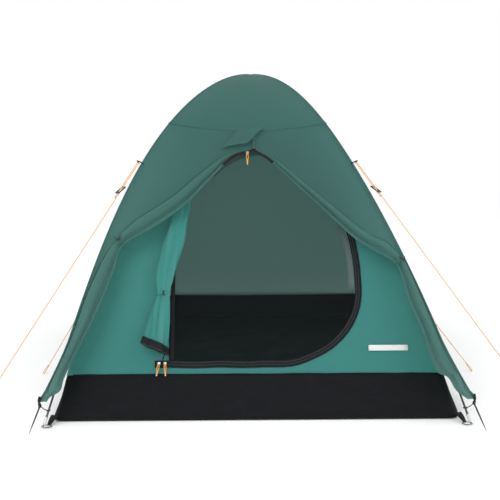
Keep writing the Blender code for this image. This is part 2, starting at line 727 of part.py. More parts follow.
def make_ties():
    """Tape ties that hold the folded flaps at the sides of the opening."""
    for (side, word), fold in zip(HALF, (LEFT_FOLD, RIGHT_FOLD)):
        rows = flap_rows(side, fold)
        high = next(row for row in rows if abs(row[0].z - fold[TIE_CORNER][1]) < GAP)
        low = rows[rows.index(high) + 1]
        share = 0.5 * TIE_WIDTH / (high[0] - low[0]).length
        band = [[a.lerp(b, 0.5 + turn * share) for a, b in zip(high, low)] for turn in (-1, 1)]
        lifts = [CLOTH + bulge + TIE_PLAY for bulge in flap_bulge(side, high[0].z)]
        sheet(f"flap_tie_{word}", band, black_webbing(), TIE_THICK, lifts=lifts)


def make_door_roll():
    """Outer door cloth, rolled beside the doorway and tied round its middle."""
    def centre(x, z, depth):
        base, _, normal = front_frame(INNER, z, CLOTH + ZIP_THICK + 3 * GAP + depth)
        return Vector((x, base.y, base.z)), normal

    loops = []
    for x, z, half_w, half_d in DOOR_ROLL:
        point, normal = centre(x, z, half_d + ROLL_STAND)
        loops.append([point + Vector((half_w * math.cos(turn), 0, 0)) + normal * half_d * math.sin(turn)
                      for turn in (math.tau * step / ROLL_SIDES for step in range(ROLL_SIDES))])
    loft("rolled_door", loops, canopy_cloth())
    x, z, half_w, half_d = DOOR_ROLL[ROLL_TIE]
    point, normal = centre(x, z, half_d + ROLL_STAND)
    down = Vector((1, 0, 0)).cross(normal).normalized()
    steps = 12
    loops = []
    for offset, clear in ((-1, 0), (-1, TIE_THICK), (1, TIE_THICK), (1, 0)):
        wide, deep = half_w + TIE_PLAY + clear, half_d + TIE_PLAY + clear
        loops.append([point + Vector((wide * math.cos(turn), 0, 0)) + normal * deep * math.sin(turn)
                      + down * offset * TIE_WIDTH / 2
                      for turn in (math.tau * step / steps for step in range(steps))])
    loft("door_roll_tie", loops, black_webbing(), capped=False)


def cord(name, points, radius, skin):
    """A cord: a tube curve with filled ends."""
    curve = bpy.data.curves.new(name, "CURVE")
    curve.dimensions = "3D"
    curve.bevel_depth = radius
    curve.bevel_resolution = GUY_SIDES_RES
    curve.use_fill_caps = True
    spline = curve.splines.new("POLY")
    spline.points.add(len(points) - 1)
    for slot, point in zip(spline.points, points):
        slot.co = (*point, 1.0)
    curve.materials.append(skin)
    obj = bpy.data.objects.new(name, curve)
    bpy.context.scene.collection.objects.link(obj)
    return obj


def guy_route(eye, peg):
    """Cord route: from the runner up to the eye, round it, back through the runner and on to the
    peg's hook, round it and back along itself. Returns the points and the line's two axes."""
    along = (peg - eye).normalized()
    side = along.cross(Vector((0, 0, 1))).normalized()
    half = STRAND_GAP / 2
    first = RUNNER_DOWN + RUNNER_SIZE[2] * 0.8
    points = [eye + along * first * share + side * half for share in (1.0, 0.75, 0.5, 0.25, 0.08)]
    for step in range(1, 8):
        turn = math.radians(180 * step / 8)
        points.append(eye + (side * math.cos(turn) - along * math.sin(turn)) * half)
    start, flare = eye - side * half, peg - side * half - along * LOOP_FLARE
    for step in range(1, GUY_STEPS + 1):
        points.append(start.lerp(flare, (step / GUY_STEPS) ** 1.5))
    for step in range(9):
        turn = math.radians(180 * step / 8)
        points.append(peg + (along * math.sin(turn) - side * math.cos(turn)) * LOOP_R)
    points.append(peg + side * LOOP_R * 0.8 - along * 0.014)
    points.append(peg + side * LOOP_R * 0.1 - along * LOOP_BACK)
    return points, along, side


def make_runner(name, middle, along, side):
    """Plastic frame runner: both strands go over its upper bar, through its window and under its
    lower bar."""
    wide, thick, tall = RUNNER_SIZE
    window_w, window_h = RUNNER_WINDOW
    tilt = math.asin((thick / 2 + GUY_R + RUNNER_PLAY) / (window_h / 2))
    normal = side.cross(along).normalized()
    long_way = along * math.cos(tilt) + normal * math.sin(tilt)
    thick_way = side.cross(long_way).normalized() * thick / 2
    corners = []
    for hand, end in ((-1, -1), (1, -1), (1, 1), (-1, 1)):
        outer = side * hand * wide / 2 + long_way * end * tall / 2
        inner = side * hand * window_w / 2 + long_way * end * window_h / 2
        corners.append((outer, inner, thick_way))
    body = frame_ring(name, corners, black_plastic())
    body.location = middle
    return body


def hooked_peg(name, head, tip, bend, radius, skin):
    """Steel wire peg: a straight shank from its tip to its head, and an open hook."""
    along = (head - tip).normalized()
    side = (bend - along * bend.dot(along)).normalized()
    centre = head + side * PEG_HOOK_R
    path = [tip, tip.lerp(head, 0.5), head]
    for turn in (30, 65, 100, 135, 170, 205):
        angle = math.radians(turn)
        path.append(centre + (-side * math.cos(angle) + along * math.sin(angle)) * PEG_HOOK_R)
    radii = [radius * PEG_POINT] + [radius] * (len(path) - 1)
    loft(name, rings_along(path, radii, PEG_SIDES), skin)


def front_guy(side):
    """Eye on the front hoop and peg of a front guy line."""
    hoop_point = FLY.point(side, -1, GUY_SPREAD)
    outward = Vector((side * FLY.half_y, -FLY.half_x, FLY.half_x)).normalized()
    peg_x, peg_y = FLOOR_WIDTH / 2 + GUY_PEG_OUT[0], FLOOR_LENGTH / 2 + GUY_PEG_OUT[1]
    return hoop_point + outward * GUY_STAND, Vector((side * peg_x, -peg_y, GUY_PEG_Z))


def side_guy(side, out):
    """Eye on the middle of a side and end loop of a side guy line."""
    wall_point = FLY.point(side, SIDE_ATTACH_Y / (FLY.half_y * SIDE_SPREAD), SIDE_SPREAD)
    outward = Vector((side, 0, 0.4)).normalized()
    return wall_point + outward * GUY_STAND, Vector((side * (FLOOR_WIDTH / 2 + out), SIDE_PEG_Y, SIDE_LOOP_Z))


def make_guys():
    """Two front guy lines to pegs, and two side lines that end in their own loops."""
    for side, word in HALF:
        eye, peg = front_guy(side)
        make_guy(f"front_{word}", eye, peg)
        out = Vector((peg.x - eye.x, peg.y - eye.y, 0)).normalized()
        tip = peg + out * math.sqrt(GUY_PEG_LENGTH ** 2 - (GUY_PEG_Z - PEG_R) ** 2)
        tip.z = PEG_R
        hooked_peg(f"guy_peg_{word}", peg + out * PEG_HOOK_R, tip, Vector((0, 0, 1)), PEG_R,
                   bright_steel())
    for (side, word), out in zip(HALF, SIDE_PEG_OUT):
        eye, loop = side_guy(side, out)
        make_guy(f"side_{word}", eye, loop)


def make_guy(place, eye, peg):
    points, along, side = guy_route(eye, peg)
    cord(f"guy_line_{place}", points, GUY_R, orange_cord())
    make_runner(f"runner_{place}", eye + along * RUNNER_DOWN, along, side)


def make_corner_pegs():
    """Steel pegs hooked in the flysheet's corners, their tips on the ground."""
    for hand_y, end in ENDS:
        for hand_x, word in HALF:
            corner = Vector((hand_x * FLOOR_WIDTH / 2, hand_y * FLOOR_LENGTH / 2, 0))
            tip = corner + Vector((hand_x * CORNER_PEG_TIP[0], hand_y * CORNER_PEG_TIP[1],
                                   CORNER_PEG_R * PEG_POINT))
            out_x, out_y, high = CORNER_PEG_HEAD
            head = corner + Vector((hand_x * out_x, hand_y * out_y, high))
            hooked_peg(f"corner_peg_{end}_{word}", head, tip, Vector((0, -hand_y, 0.3)), CORNER_PEG_R,
                       dark_steel())


def build():
    clear_scene()
    make_pole(LOWER_POLE, -1, "lower")
    make_pole(UPPER_POLE, 1, "upper")
    for hand_y, end in ENDS:
        for hand_x, word in HALF:
            hoop = LOWER_POLE if hand_x == hand_y else UPPER_POLE
            make_corner(hoop, hand_x, hand_y, f"{end}_{word}")
    make_inner_tent()
    make_sliders()
    make_door_roll()
    make_fly()
    make_ties()
    make_guys()
    make_corner_pegs()


build()
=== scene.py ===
# %% [markdown]
# # A dome tent on two crossed poles
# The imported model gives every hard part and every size. This lesson dresses it: cloth with seams
# and folds, a net door, zips, cords and steel, each with its own finish. Nothing here moves a part.

# %% Load the frame
from math import cos, pi, radians, sin, sqrt, tau

import bmesh
import bpy
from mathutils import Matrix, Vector, noise
from mathutils.geometry import delaunay_2d_cdt


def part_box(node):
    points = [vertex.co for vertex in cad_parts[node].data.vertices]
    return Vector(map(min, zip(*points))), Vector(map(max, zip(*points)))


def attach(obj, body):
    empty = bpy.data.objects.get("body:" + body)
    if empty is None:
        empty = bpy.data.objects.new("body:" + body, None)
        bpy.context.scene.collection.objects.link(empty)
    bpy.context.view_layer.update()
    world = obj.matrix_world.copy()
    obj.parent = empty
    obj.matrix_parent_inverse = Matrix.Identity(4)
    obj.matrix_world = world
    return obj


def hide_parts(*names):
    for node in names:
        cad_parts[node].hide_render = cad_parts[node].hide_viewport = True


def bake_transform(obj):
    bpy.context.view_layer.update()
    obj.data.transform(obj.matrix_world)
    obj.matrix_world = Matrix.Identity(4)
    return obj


UP = Vector((0, 0, 1))

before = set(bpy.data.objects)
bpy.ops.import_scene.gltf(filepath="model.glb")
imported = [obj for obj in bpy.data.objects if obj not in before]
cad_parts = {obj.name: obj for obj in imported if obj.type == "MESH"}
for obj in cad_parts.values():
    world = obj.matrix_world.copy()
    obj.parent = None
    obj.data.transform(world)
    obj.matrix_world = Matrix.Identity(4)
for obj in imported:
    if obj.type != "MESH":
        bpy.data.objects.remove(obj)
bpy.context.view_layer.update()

# %% [markdown]
# ## Camera, floor and light
# A tent is photographed from the height of its crown, a few metres away, with a short telephoto
# lens so that the front doesn't look swollen. White light from all round and a large soft lamp
# over the camera's shoulder keep the folds readable and the shadows faint.

# %% Camera
CAMERA_PLACE = Vector((-0.1173, -4.5866, 1.0566))
CAMERA_YAW = radians(1.445)
CAMERA_PITCH = radians(6.807)
CAMERA_LENS = 71.8


def make_camera():
    data = bpy.data.cameras.new("camera")
    data.lens = CAMERA_LENS
    data.sensor_width = 36
    camera = bpy.data.objects.new("camera", data)
    camera.location = CAMERA_PLACE
    camera.rotation_euler = (pi / 2 - CAMERA_PITCH, 0, -CAMERA_YAW)
    bpy.context.scene.collection.objects.link(camera)
    bpy.context.scene.camera = camera
    return camera


camera = make_camera()
print("camera:", [round(x, 3) for x in camera.location], "lens", camera.data.lens)

# %% Floor and light
WORLD_LIGHT = 1.0
KEY_POWER, FILL_POWER = 130.0, 35.0


def make_lamp(name, place, size, power):
    data = bpy.data.lights.new(name, "AREA")
    data.size, data.energy = size, power
    lamp = bpy.data.objects.new(name, data)
    lamp.location = place
    lamp.rotation_euler = (UP * 0.5 - Vector(place)).to_track_quat("-Z", "Y").to_euler()
    bpy.context.scene.collection.objects.link(lamp)


def make_studio():
    world = bpy.data.worlds.new("studio")
    world.use_nodes = True
    world.node_tree.nodes["Background"].inputs["Color"].default_value = (1, 1, 1, 1)
    world.node_tree.nodes["Background"].inputs["Strength"].default_value = WORLD_LIGHT
    bpy.context.scene.world = world
    bpy.context.scene.view_settings.view_transform = "Standard"
    make_lamp("key", (-2.2, -4.5, 4.2), 3.0, KEY_POWER)
    make_lamp("fill", (3.5, -3.0, 2.2), 3.0, FILL_POWER)
    mesh = bpy.data.meshes.new("studio_floor")
    far = 12.0
    mesh.from_pydata([(-far, -far, 0), (far, -far, 0), (far, far, 0), (-far, far, 0)], [], [(0, 1, 2, 3)])
    floor = bpy.data.objects.new("studio_floor", mesh)
    floor.location.z = -0.0005
    bpy.context.scene.collection.objects.link(floor)
    return floor


studio_floor = make_studio()
print("studio: floor, key and fill lamps")

# %% [markdown]
# ## Writing a finish as sums
# A finish is a network of nodes, but it reads better as arithmetic. `Value` wraps a socket that
# carries a number, and every sum written with it adds a Math node. `Paint` is one material being
# mixed: its `node` method makes any other node from a type, settings and inputs.


# %% Shader maths
class Value:
    """A number that changes over a surface."""

    def __init__(self, paint, socket):
        self.paint, self.socket = paint, socket

    def sum(self, operation, first, second):
        made = self.paint.node("ShaderNodeMath", {"operation": operation}, {0: first, 1: second})
        return Value(self.paint, made.outputs[0])

    def __add__(self, other):
        return self.sum("ADD", self, other)

    def __sub__(self, other):
        return self.sum("SUBTRACT", self, other)

    def __rsub__(self, other):
        return self.sum("SUBTRACT", other, self)

    def __mul__(self, other):
        return self.sum("MULTIPLY", self, other)

    def __pow__(self, other):
        return self.sum("POWER", self, other)

    def over(self, other):
        return self.sum("MAXIMUM", self, other)

    __radd__, __rmul__ = __add__, __mul__


class Paint:
    """One material. Numbers that are the same all over are set on the shader itself."""

    def __init__(self, name, roughness, **fixed):
        self.material = bpy.data.materials.new(name)
        self.material.use_nodes = True
        self.tree = self.material.node_tree
        self.shader = self.tree.nodes["Principled BSDF"]
        self.out = self.tree.nodes["Material Output"]
        self.feed(self.shader.inputs["Roughness"], roughness)
        for words, value in fixed.items():
            self.feed(self.shader.inputs[words.replace("_", " ").title().replace("Ior", "IOR")], value)

    def feed(self, socket, value):
        value = value.socket if isinstance(value, Value) else value
        if isinstance(value, bpy.types.NodeSocket):
            self.tree.links.new(value, socket)
        else:
            socket.default_value = value

    def node(self, kind, settings, inputs):
        made = self.tree.nodes.new(kind)
        for word, value in settings.items():
            setattr(made, word, value)
        for word, value in inputs.items():
            self.feed(made.inputs[word], value)
        return made

    def place(self, stretch=(1, 1, 1), kind="Object", turn=0.0):
        """Coordinates in metres, each axis multiplied by its stretch."""
        where = self.node("ShaderNodeTexCoord", {}, {}).outputs[kind]
        return self.node("ShaderNodeMapping", {}, {"Vector": where, "Scale": stretch,
                                                   "Rotation": (0, 0, turn)}).outputs[0]

    def noise(self, size, detail=2.0, stretch=(1, 1, 1), kind="Object"):
        """Soft noise from 0 to 1 whose patches are about that many metres."""
        made = self.node("ShaderNodeTexNoise", {}, {"Vector": self.place(stretch, kind), "Scale": 1 / size,
                                                    "Detail": detail})
        return Value(self, made.outputs[0])

    def rib(self, period, axis="X", kind="UV", turn=0.0):
        """Parallel ribs from 0 to 1, that many metres apart."""
        made = self.node("ShaderNodeTexWave", {"bands_direction": axis}, {
            "Vector": self.place((1, 1, 1), kind, turn), "Scale": tau / 20 / period})
        return Value(self, made.outputs[1])

    def mix(self, first, second, share):
        """A colour between two, by a share from 0 to 1."""
        made = self.node("ShaderNodeMix", {"data_type": "RGBA"}, {0: share, 6: (*first, 1), 7: (*second, 1)})
        return made.outputs[2]

    def colour(self, first, second, share):
        self.feed(self.shader.inputs["Base Color"], self.mix(first, second, share))
        return self

    def relief(self, height, depth):
        """Bump of that many metres."""
        made = self.node("ShaderNodeBump", {}, {"Height": height, "Distance": depth, "Strength": 1.0})
        self.feed(self.shader.inputs["Normal"], made.outputs[0])
        return self

    def glow_through(self, colour, share):
        """Lets that share of the light through, scattered, as thin cloth does."""
        through = self.node("ShaderNodeBsdfTranslucent", {}, {"Color": (*colour, 1)})
        both = self.node("ShaderNodeMixShader", {},
                         {0: share, 1: self.shader.outputs[0], 2: through.outputs[0]})
        self.feed(self.out.inputs[0], both.outputs[0])
        return self


print("shader maths ready")

# %% [markdown]
# ## Cloth finishes
# The flysheet and the inner tent are thin coated polyester: an even colour, a fine plain weave, a
# dull shine and a good deal of light passing through, which is what makes the inside of a tent
# green. The floor is woven from flat plastic tape and coated, so faint streaks run along it.


# %% Cloth
def thin_cloth(name, colour, through, share, rough):
    paint = Paint(name, rough, sheen_weight=0.04, sheen_roughness=0.5, specular_ior_level=0.22)
    patches = paint.noise(0.35, 3.0)
    threads = paint.rib(0.0011, "X").over(paint.rib(0.0011, "Y"))
    dark = [channel * 0.90 for channel in colour]
    light = [channel * 1.10 for channel in colour]
    paint.colour(dark, light, patches * 0.75 + threads * 0.25)
    paint.feed(paint.shader.inputs["Roughness"], rough + paint.noise(0.05) * 0.12)
    paint.relief(threads * 0.06 + paint.noise(0.09, 4.0) * 0.94, 0.0022)
    return paint.glow_through(through, share).material


def tub_fabric():
    paint = Paint("tub_cloth", 0.5, specular_ior_level=0.12)
    tape = paint.rib(0.0028, "X").over(paint.rib(0.0028, "Y"))
    streaks = paint.noise(0.004, 4.0, (0.05, 0.05, 1.0))
    scuffs = paint.noise(0.025, 6.0, (1.0, 1.0, 3.0)) ** 4.0
    paint.colour((0.0010, 0.0014, 0.0020), (0.0150, 0.0175, 0.0215),
                 streaks * 0.50 + tape * 0.08 + scuffs * 0.6)
    paint.feed(paint.shader.inputs["Roughness"], 0.42 + streaks * 0.25)
    paint.relief(tape * 0.15 + streaks * 0.25 + paint.noise(0.06, 4.0) * 0.6, 0.0035)
    return paint.material


def net_fabric():
    paint = Paint("mesh_cloth", 0.8, specular_ior_level=0.05)
    threads = paint.rib(0.0016, "DIAGONAL").over(paint.rib(0.0016, "DIAGONAL", turn=pi / 2))
    paint.colour((0.008, 0.012, 0.013), (0.020, 0.026, 0.027), threads)
    paint.feed(paint.shader.inputs["Alpha"], 0.14 + threads * 0.20)
    return paint.material


fly_cloth = thin_cloth("fly_cloth", (0.044, 0.130, 0.117), (0.47, 0.68, 0.63), 0.42, 0.5)
canopy_cloth = thin_cloth("canopy_cloth", (0.052, 0.290, 0.264), (0.66, 0.84, 0.80), 0.47, 0.55)
tub_cloth = tub_fabric()
mesh_cloth = net_fabric()
print("cloth finishes:", fly_cloth.name, canopy_cloth.name, tub_cloth.name, mesh_cloth.name)

# %% [markdown]
# ## Trim finishes
# Webbing and zip tape are woven narrow goods with a rib every millimetre. Cord is a braid whose
# strands wind both ways. Pegs and rings are drawn steel wire, some of it blackened, and the small
# fittings are moulded nylon with a fine spark-eroded grain.


# %% Trim
def woven_tape(name, dark, light, period):
    paint = Paint(name, 0.7, specular_ior_level=0.12)
    weave = paint.rib(period, "X").over(paint.rib(period * 0.7, "Y") * 0.8)
    paint.colour(dark, light, weave * 0.7 + paint.noise(0.01, 3.0) * 0.3)
    return paint.relief(weave, 0.0004).material


def braid(name, dark, light, period):
    paint = Paint(name, 0.6, sheen_weight=0.2)
    strands = paint.rib(period, "DIAGONAL", "Object").over(paint.rib(period, "DIAGONAL", "Object", pi / 2))
    paint.colour(dark, light, strands * 0.6 + paint.noise(0.004, 3.0) * 0.5)
    return paint.relief(strands, 0.0003).material


def metal(name, dark, light, rough):
    paint = Paint(name, rough, metallic=1.0)
    drawn = paint.noise(0.003, 5.0)
    paint.colour(dark, light, drawn)
    paint.feed(paint.shader.inputs["Roughness"], rough + paint.noise(0.02, 4.0) * 0.2)
    return paint.relief(drawn, 0.00008).material


def moulded(name, dark, light, rough):
    paint = Paint(name, rough)
    grain = paint.noise(0.0006, 2.0)
    paint.colour(dark, light, paint.noise(0.012, 3.0))
    paint.feed(paint.shader.inputs["Roughness"], rough + grain * 0.15)
    return paint.relief(grain, 0.00008).material


def glass_rod():
    paint = Paint("fibreglass", 0.28, coat_weight=0.4, coat_roughness=0.15)
    # Pale streaks, drawn out upwards, over the black rod; the same streaks give its bump.
    pale_streaks = paint.noise(0.0012, 4.0, (1, 1, 0.06))
    paint.colour((0.012, 0.012, 0.014), (0.075, 0.075, 0.078), pale_streaks ** 3.0)
    return paint.relief(pale_streaks, 0.00006).material


def zip_coil():
    paint = Paint("zip_coil", 0.35)
    teeth = paint.rib(0.0022, "X")
    paint.colour((0.006, 0.007, 0.008), (0.080, 0.082, 0.088), teeth ** 2.0)
    return paint.relief(teeth, 0.0008).material


black_webbing = woven_tape("black_webbing", (0.004, 0.004, 0.005), (0.020, 0.021, 0.023), 0.0016)
zip_tape = woven_tape("zip_tape", (0.005, 0.006, 0.007), (0.020, 0.021, 0.024), 0.0012)
binding_tape = woven_tape("net_binding", (0.055, 0.085, 0.080), (0.110, 0.155, 0.148), 0.0014)
label_tape = woven_tape("blank_label", (0.62, 0.65, 0.63), (0.82, 0.84, 0.82), 0.0010)
coil_nylon = zip_coil()
orange_cord = braid("orange_cord", (0.44, 0.15, 0.012), (0.90, 0.40, 0.055), 0.0016)
pale_tip = moulded("pale_tip", (0.70, 0.52, 0.36), (0.88, 0.74, 0.58), 0.35)
fibreglass = glass_rod()
bright_steel = metal("bright_steel", (0.42, 0.42, 0.41), (0.74, 0.73, 0.71), 0.22)
dark_steel = metal("dark_steel", (0.030, 0.030, 0.032), (0.090, 0.088, 0.088), 0.35)
black_plastic = moulded("black_plastic", (0.008, 0.008, 0.009), (0.024, 0.024, 0.026), 0.35)
studio_paint = moulded("studio_floor", (0.975, 0.975, 0.975), (1.0, 1.0, 1.0), 0.8)
studio_floor.data.materials.append(studio_paint)
print("trim finishes ready")

# %% [markdown]
# ## The shape that everything hangs on
# Each pole is an arch between two opposite corners. Its height falls with the square of the
# distance from the crown, and the whole tent leans a little to the left at shoulder height. Cloth
# between two arches is straight from one to the other, so a front or rear point is known from its
# x and z alone. The sizes are those of the frame, and the print gives a flysheet corner beside the frame's.

# %% Arches
CROWN = 1.31
LEAN = 0.027
FLARE_UNDER = 0.30
HEM = 0.100
TUB_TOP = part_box("floor_tub")[1].z
SIDES = ((-1, "left"), (1, "right"))
ENDS = ((-1, "front"), (1, "rear"))


def lean(z):
    share = min(max(z / CROWN, 0.0), 1.0) ** 2
    return -LEAN * 4 * share * (1 - share)


class Arch:
    """A pair of crossed arches: half spread in x and y at the ground, and height of the crown."""

    def __init__(self, half_x, half_y, rise, flare=0.0):
        self.half_x, self.half_y, self.rise, self.flare = half_x, half_y, rise, flare

    def reach(self, z):
        low = max(0.0, FLARE_UNDER - z) / FLARE_UNDER
        return sqrt(max(0.0, 1 - z / self.rise)) + self.flare * low ** 1.5

    def corner(self, hand_x, hand_y, z):
        return Vector((hand_x * self.half_x * self.reach(z) + lean(z),
                       hand_y * self.half_y * self.reach(z), z))

    def slope(self, face, z):
        """Outward direction of a face at a height."""
        step = 0.004
        low, high = max(z - step, 0.0), min(z + step, self.rise - 0.0005)
        across = self.half_x if face in ("left", "right") else self.half_y
        drop = across * (self.reach(low) - self.reach(high)) / (high - low)
        out = {"front": (0, -1), "rear": (0, 1), "left": (-1, 0), "right": (1, 0)}[face]
        return Vector((out[0], out[1], drop)).normalized()

    def wall(self, face, across, z, lift=0.0):
        """Point of a face. across is x on the front and rear, y on the sides."""
        if face in ("front", "rear"):
            sign = -1 if face == "front" else 1
            here = Vector((across, sign * self.half_y * self.reach(z), z))
        else:
            sign = -1 if face == "left" else 1
            here = Vector((sign * self.half_x * self.reach(z) + lean(z), across, z))
        return here + self.slope(face, z) * lift

    def share(self, face, across, z):
        """Where a place stands between the two limits, from 0 to 1."""
        first, last = self.edges(face, z)
        return min(max((across - first) / (last - first), 0.0), 1.0)

    def edges(self, face, z):
        """The two limits of across at a height."""
        if face in ("front", "rear"):
            return self.corner(-1, -1, z).x, self.corner(1, -1, z).x
        return self.corner(-1, -1, z).y, self.corner(-1, 1, z).y


FLY = Arch(0.78, 1.12, 1.31, 0.068)
INNER = Arch(0.755, 0.989, 1.262)
POLES = {"lower": (Arch(0.77, 1.11, 1.288), -1), "upper": (Arch(0.77, 1.11, 1.299), 1)}
print("flysheet corner:", [round(x, 3) for x in FLY.corner(1, 1, HEM)],
      "in the frame", [round(x, 3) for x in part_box("fly_right")[1]])

# %% [markdown]
# ## Helpers for cloth, cord and tape
# Cloth is made as rows of points: one quad between four neighbours, and a UV in metres so that a
# weave keeps its size. A flat cut with a hole in it is filled with triangles inside its outline.
# Round stock is a ring of points carried along a path, and tape is a thin box carried the same way.


# %% Mesh helpers
def piece(name, points, faces, finish, body="root", uv=None):
    """A smooth mesh object that rides on a body, with the finish as its one material."""
    mesh = bpy.data.meshes.new(name)
    mesh.from_pydata([tuple(point) for point in points], [], faces)
    mesh.shade_smooth()
    mesh.materials.append(finish)
    if uv:
        layer = mesh.uv_layers.new(name="cloth")
        for loop in mesh.loops:
            layer.data[loop.index].uv = uv[loop.vertex_index]
    obj = bpy.data.objects.new(name, mesh)
    bpy.context.scene.collection.objects.link(obj)
    if body:
        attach(obj, body)
    return obj


def turns(steps, whole=tau):
    """Angles from nothing to a whole turn, or to the part of one that is given."""
    return [whole * step / steps for step in range(steps + 1)]


def running(points):
    """Length along a path at each of its points."""
    total, found = 0.0, [0.0]
    for here, there in zip(points, points[1:]):
        total += (there - here).length
        found.append(total)
    return found


def cloth(name, rows, finish):
    """A sheet from rows of points."""
    wide = len(rows[0])
    down = running([row[wide // 2] for row in rows])
    uv = [(along, down[index]) for index, row in enumerate(rows) for along in running(row)]
    faces = [(r * wide + c, r * wide + c + 1, (r + 1) * wide + c + 1, (r + 1) * wide + c)
             for r in range(len(rows) - 1) for c in range(wide - 1)]
    return piece(name, [point for row in rows for point in row], faces, finish, uv=uv)


def declare(rows):
    """Works out the longest row and longest column of a sheet, and keeps neither."""
    width = max(running(row)[-1] for row in rows)
    length = max(running(list(column))[-1] for column in zip(*rows))


def ring_frames(path):
    """Heading, side and rise at each point of a path, turned as little as possible."""
    found, side = [], None
    for index, point in enumerate(path):
        ahead = (path[min(index + 1, len(path) - 1)] - path[max(index - 1, 0)]).normalized()
        if side is None:
            side = ahead.cross(UP)
            side = side if side.length > 0.05 else ahead.orthogonal()
        side = (side - ahead * side.dot(ahead)).normalized()
        found.append((ahead, side, side.cross(ahead)))
    return found


def skin(name, rings, marks, finish, body="root"):
    """Closed skin over rings of points that follow each other, with a UV mark for each point."""
    sides, last = len(rings[0]), len(rings) - 1
    faces = [(ring * sides + step, ring * sides + (step + 1) % sides, (ring + 1) * sides + (step + 1) % sides,
              (ring + 1) * sides + step) for ring in range(last) for step in range(sides)]
    faces += [tuple(reversed(range(sides))), tuple(range(last * sides, (last + 1) * sides))]
    return piece(name, sum(rings, []), faces, finish, body, sum(marks, []))


def tube(name, path, radii, finish, body="root", sides=10, flat=1.0):
    """Round stock along a path, with closed ends. flat squeezes it along its rise."""
    radii = radii if isinstance(radii, (list, tuple)) else [radii] * len(path)
    along = running(path)
    rings, marks = [], []
    for (_, side, rise), point, radius, far in zip(ring_frames(path), path, radii, along):
        turns = [tau * step / sides for step in range(sides)]
        rings.append([point + (side * cos(turn) + rise * sin(turn) * flat) * radius for turn in turns])
        marks.append([(far, radius * turn) for turn in turns])
    return skin(name, rings, marks, finish, body)


BAND = ((-0.5, -0.3), (-0.44, -0.5), (0.44, -0.5), (0.5, -0.3), (0.5, 0.3), (0.44, 0.5), (-0.44, 0.5),
        (-0.5, 0.3))


def tape(name, path, side, width, thick, finish, slot=None):
    """A flat band along a path. side is one direction, or one for each point."""
    sides = side if isinstance(side, list) else [side] * len(path)
    widths = width if isinstance(width, list) else [width] * len(path)
    along = running(path)
    rings, marks = [], []
    for (ahead, _, _), point, across, wide, far in zip(ring_frames(path), path, sides, widths, along):
        normal = across.cross(ahead).normalized()
        rings.append([point + across * wide * x + normal * thick * y for x, y in BAND])
        marks.append([(far, wide * x) for x, _ in BAND])
    return skin(name, rings, marks, finish)


def blend_keys(keys, t):
    """Smooth curve through keys, each a tuple of numbers. t runs from 0 to 1 over all of them."""
    at = min(max(t, 0.0), 1.0) * (len(keys) - 1)
    low = min(int(at), len(keys) - 2)
    u = at - low
    found = []
    for k in range(len(keys[0])):
        before, here = keys[max(low - 1, 0)][k], keys[low][k]
        there, after = keys[low + 1][k], keys[min(low + 2, len(keys) - 1)][k]
        found.append(0.5 * (2 * here + (there - before) * u + (2 * before - 5 * here + 4 * there - after) * u * u
                            + (3 * here - before - 3 * there + after) * u ** 3))
    return found


def smooth_path(points, steps):
    """A finer path through a few points."""
    return [Vector(blend_keys([tuple(point) for point in points], step / steps)) for step in range(steps + 1)]


def ruffle(point, size, seed=0.0):
    """Smooth noise from -1 to 1 with waves of about that many metres."""
    return noise.noise(Vector((point.x / size + seed, point.y / size - seed, point.z / size)))


print("helpers ready")

# %% [markdown]
# ## Guy lines
# A guy line is one braided cord. It is knotted at its plastic runner, goes up through the loop
# sewn on the flysheet, comes back through the runner and runs taut to a peg. Here it is two
# pieces: the main strand, which stays put, and a short straight one from the loop to the runner.
# A taut line of 3 mm cord barely sags.

# %% Guy lines
CORD_R = 0.0015
STRAND_GAP = 0.008
LOOP_R = 0.007
LOOP_FLARE = 0.050
RUNNER_DOWN = 0.150
RUNNER_TALL = 0.046
PEG_Z = 0.036
FRONT_SPREAD, SIDE_SPREAD = 0.54, 0.82
EYE_STAND = 0.014


def front_guy(hand):
    """Eye on the flysheet's loop and the hook of the peg."""
    on_pole = FLY.corner(hand, -1, CROWN * (1 - FRONT_SPREAD ** 2))
    out = Vector((hand * FLY.half_y, -FLY.half_x, FLY.half_x)).normalized()
    return on_pole + out * EYE_STAND, Vector((hand * 1.005, -1.325, PEG_Z)), on_pole


def side_guy(hand):
    z = CROWN * (1 - SIDE_SPREAD ** 2)
    on_wall = FLY.wall("left" if hand < 0 else "right", -0.10 * FLY.reach(z) / SIDE_SPREAD, z)
    out = Vector((hand, 0, 0.4)).normalized()
    return on_wall + out * EYE_STAND, Vector((hand * (0.91 if hand < 0 else 0.97), -0.29, 0.0075)), on_wall


def guy_points(eye, peg):
    """Main strand from the eye to its end loop, and short strand from the eye to the runner."""
    along = (peg - eye).normalized()
    side = along.cross(UP).normalized()
    half = STRAND_GAP / 2
    reach = RUNNER_DOWN + RUNNER_TALL * 0.8
    main = [eye + (side * cos(turn) - along * sin(turn)) * half
            for turn in turns(8, pi)]
    start, flare = eye - side * half, peg - side * half - along * LOOP_FLARE
    main += [start.lerp(flare, (step / 24) ** 1.5) for step in range(1, 25)]
    main += [peg + (along * sin(turn) - side * cos(turn)) * LOOP_R
             for turn in turns(8, pi)]
    main += [peg + side * LOOP_R * 0.8 - along * 0.014, peg + side * LOOP_R * 0.1 - along * 0.036]
    short = [eye + side * half + along * reach * step / 16 for step in range(17)]
    return main, short, along, side


def cord_curve(name, points):
    """A round cord with closed ends through points."""
    curve = bpy.data.curves.new(name, "CURVE")
    curve.dimensions = "3D"
    curve.bevel_depth = CORD_R
    curve.bevel_resolution = 3
    curve.use_fill_caps = True
    spline = curve.splines.new("POLY")
    spline.points.add(len(points) - 1)
    for slot, point in zip(spline.points, points):
        slot.co = (*point, 1.0)
    curve.materials.append(orange_cord)
    obj = bpy.data.objects.new(name, curve)
    bpy.context.scene.collection.objects.link(obj)
    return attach(obj, "root")


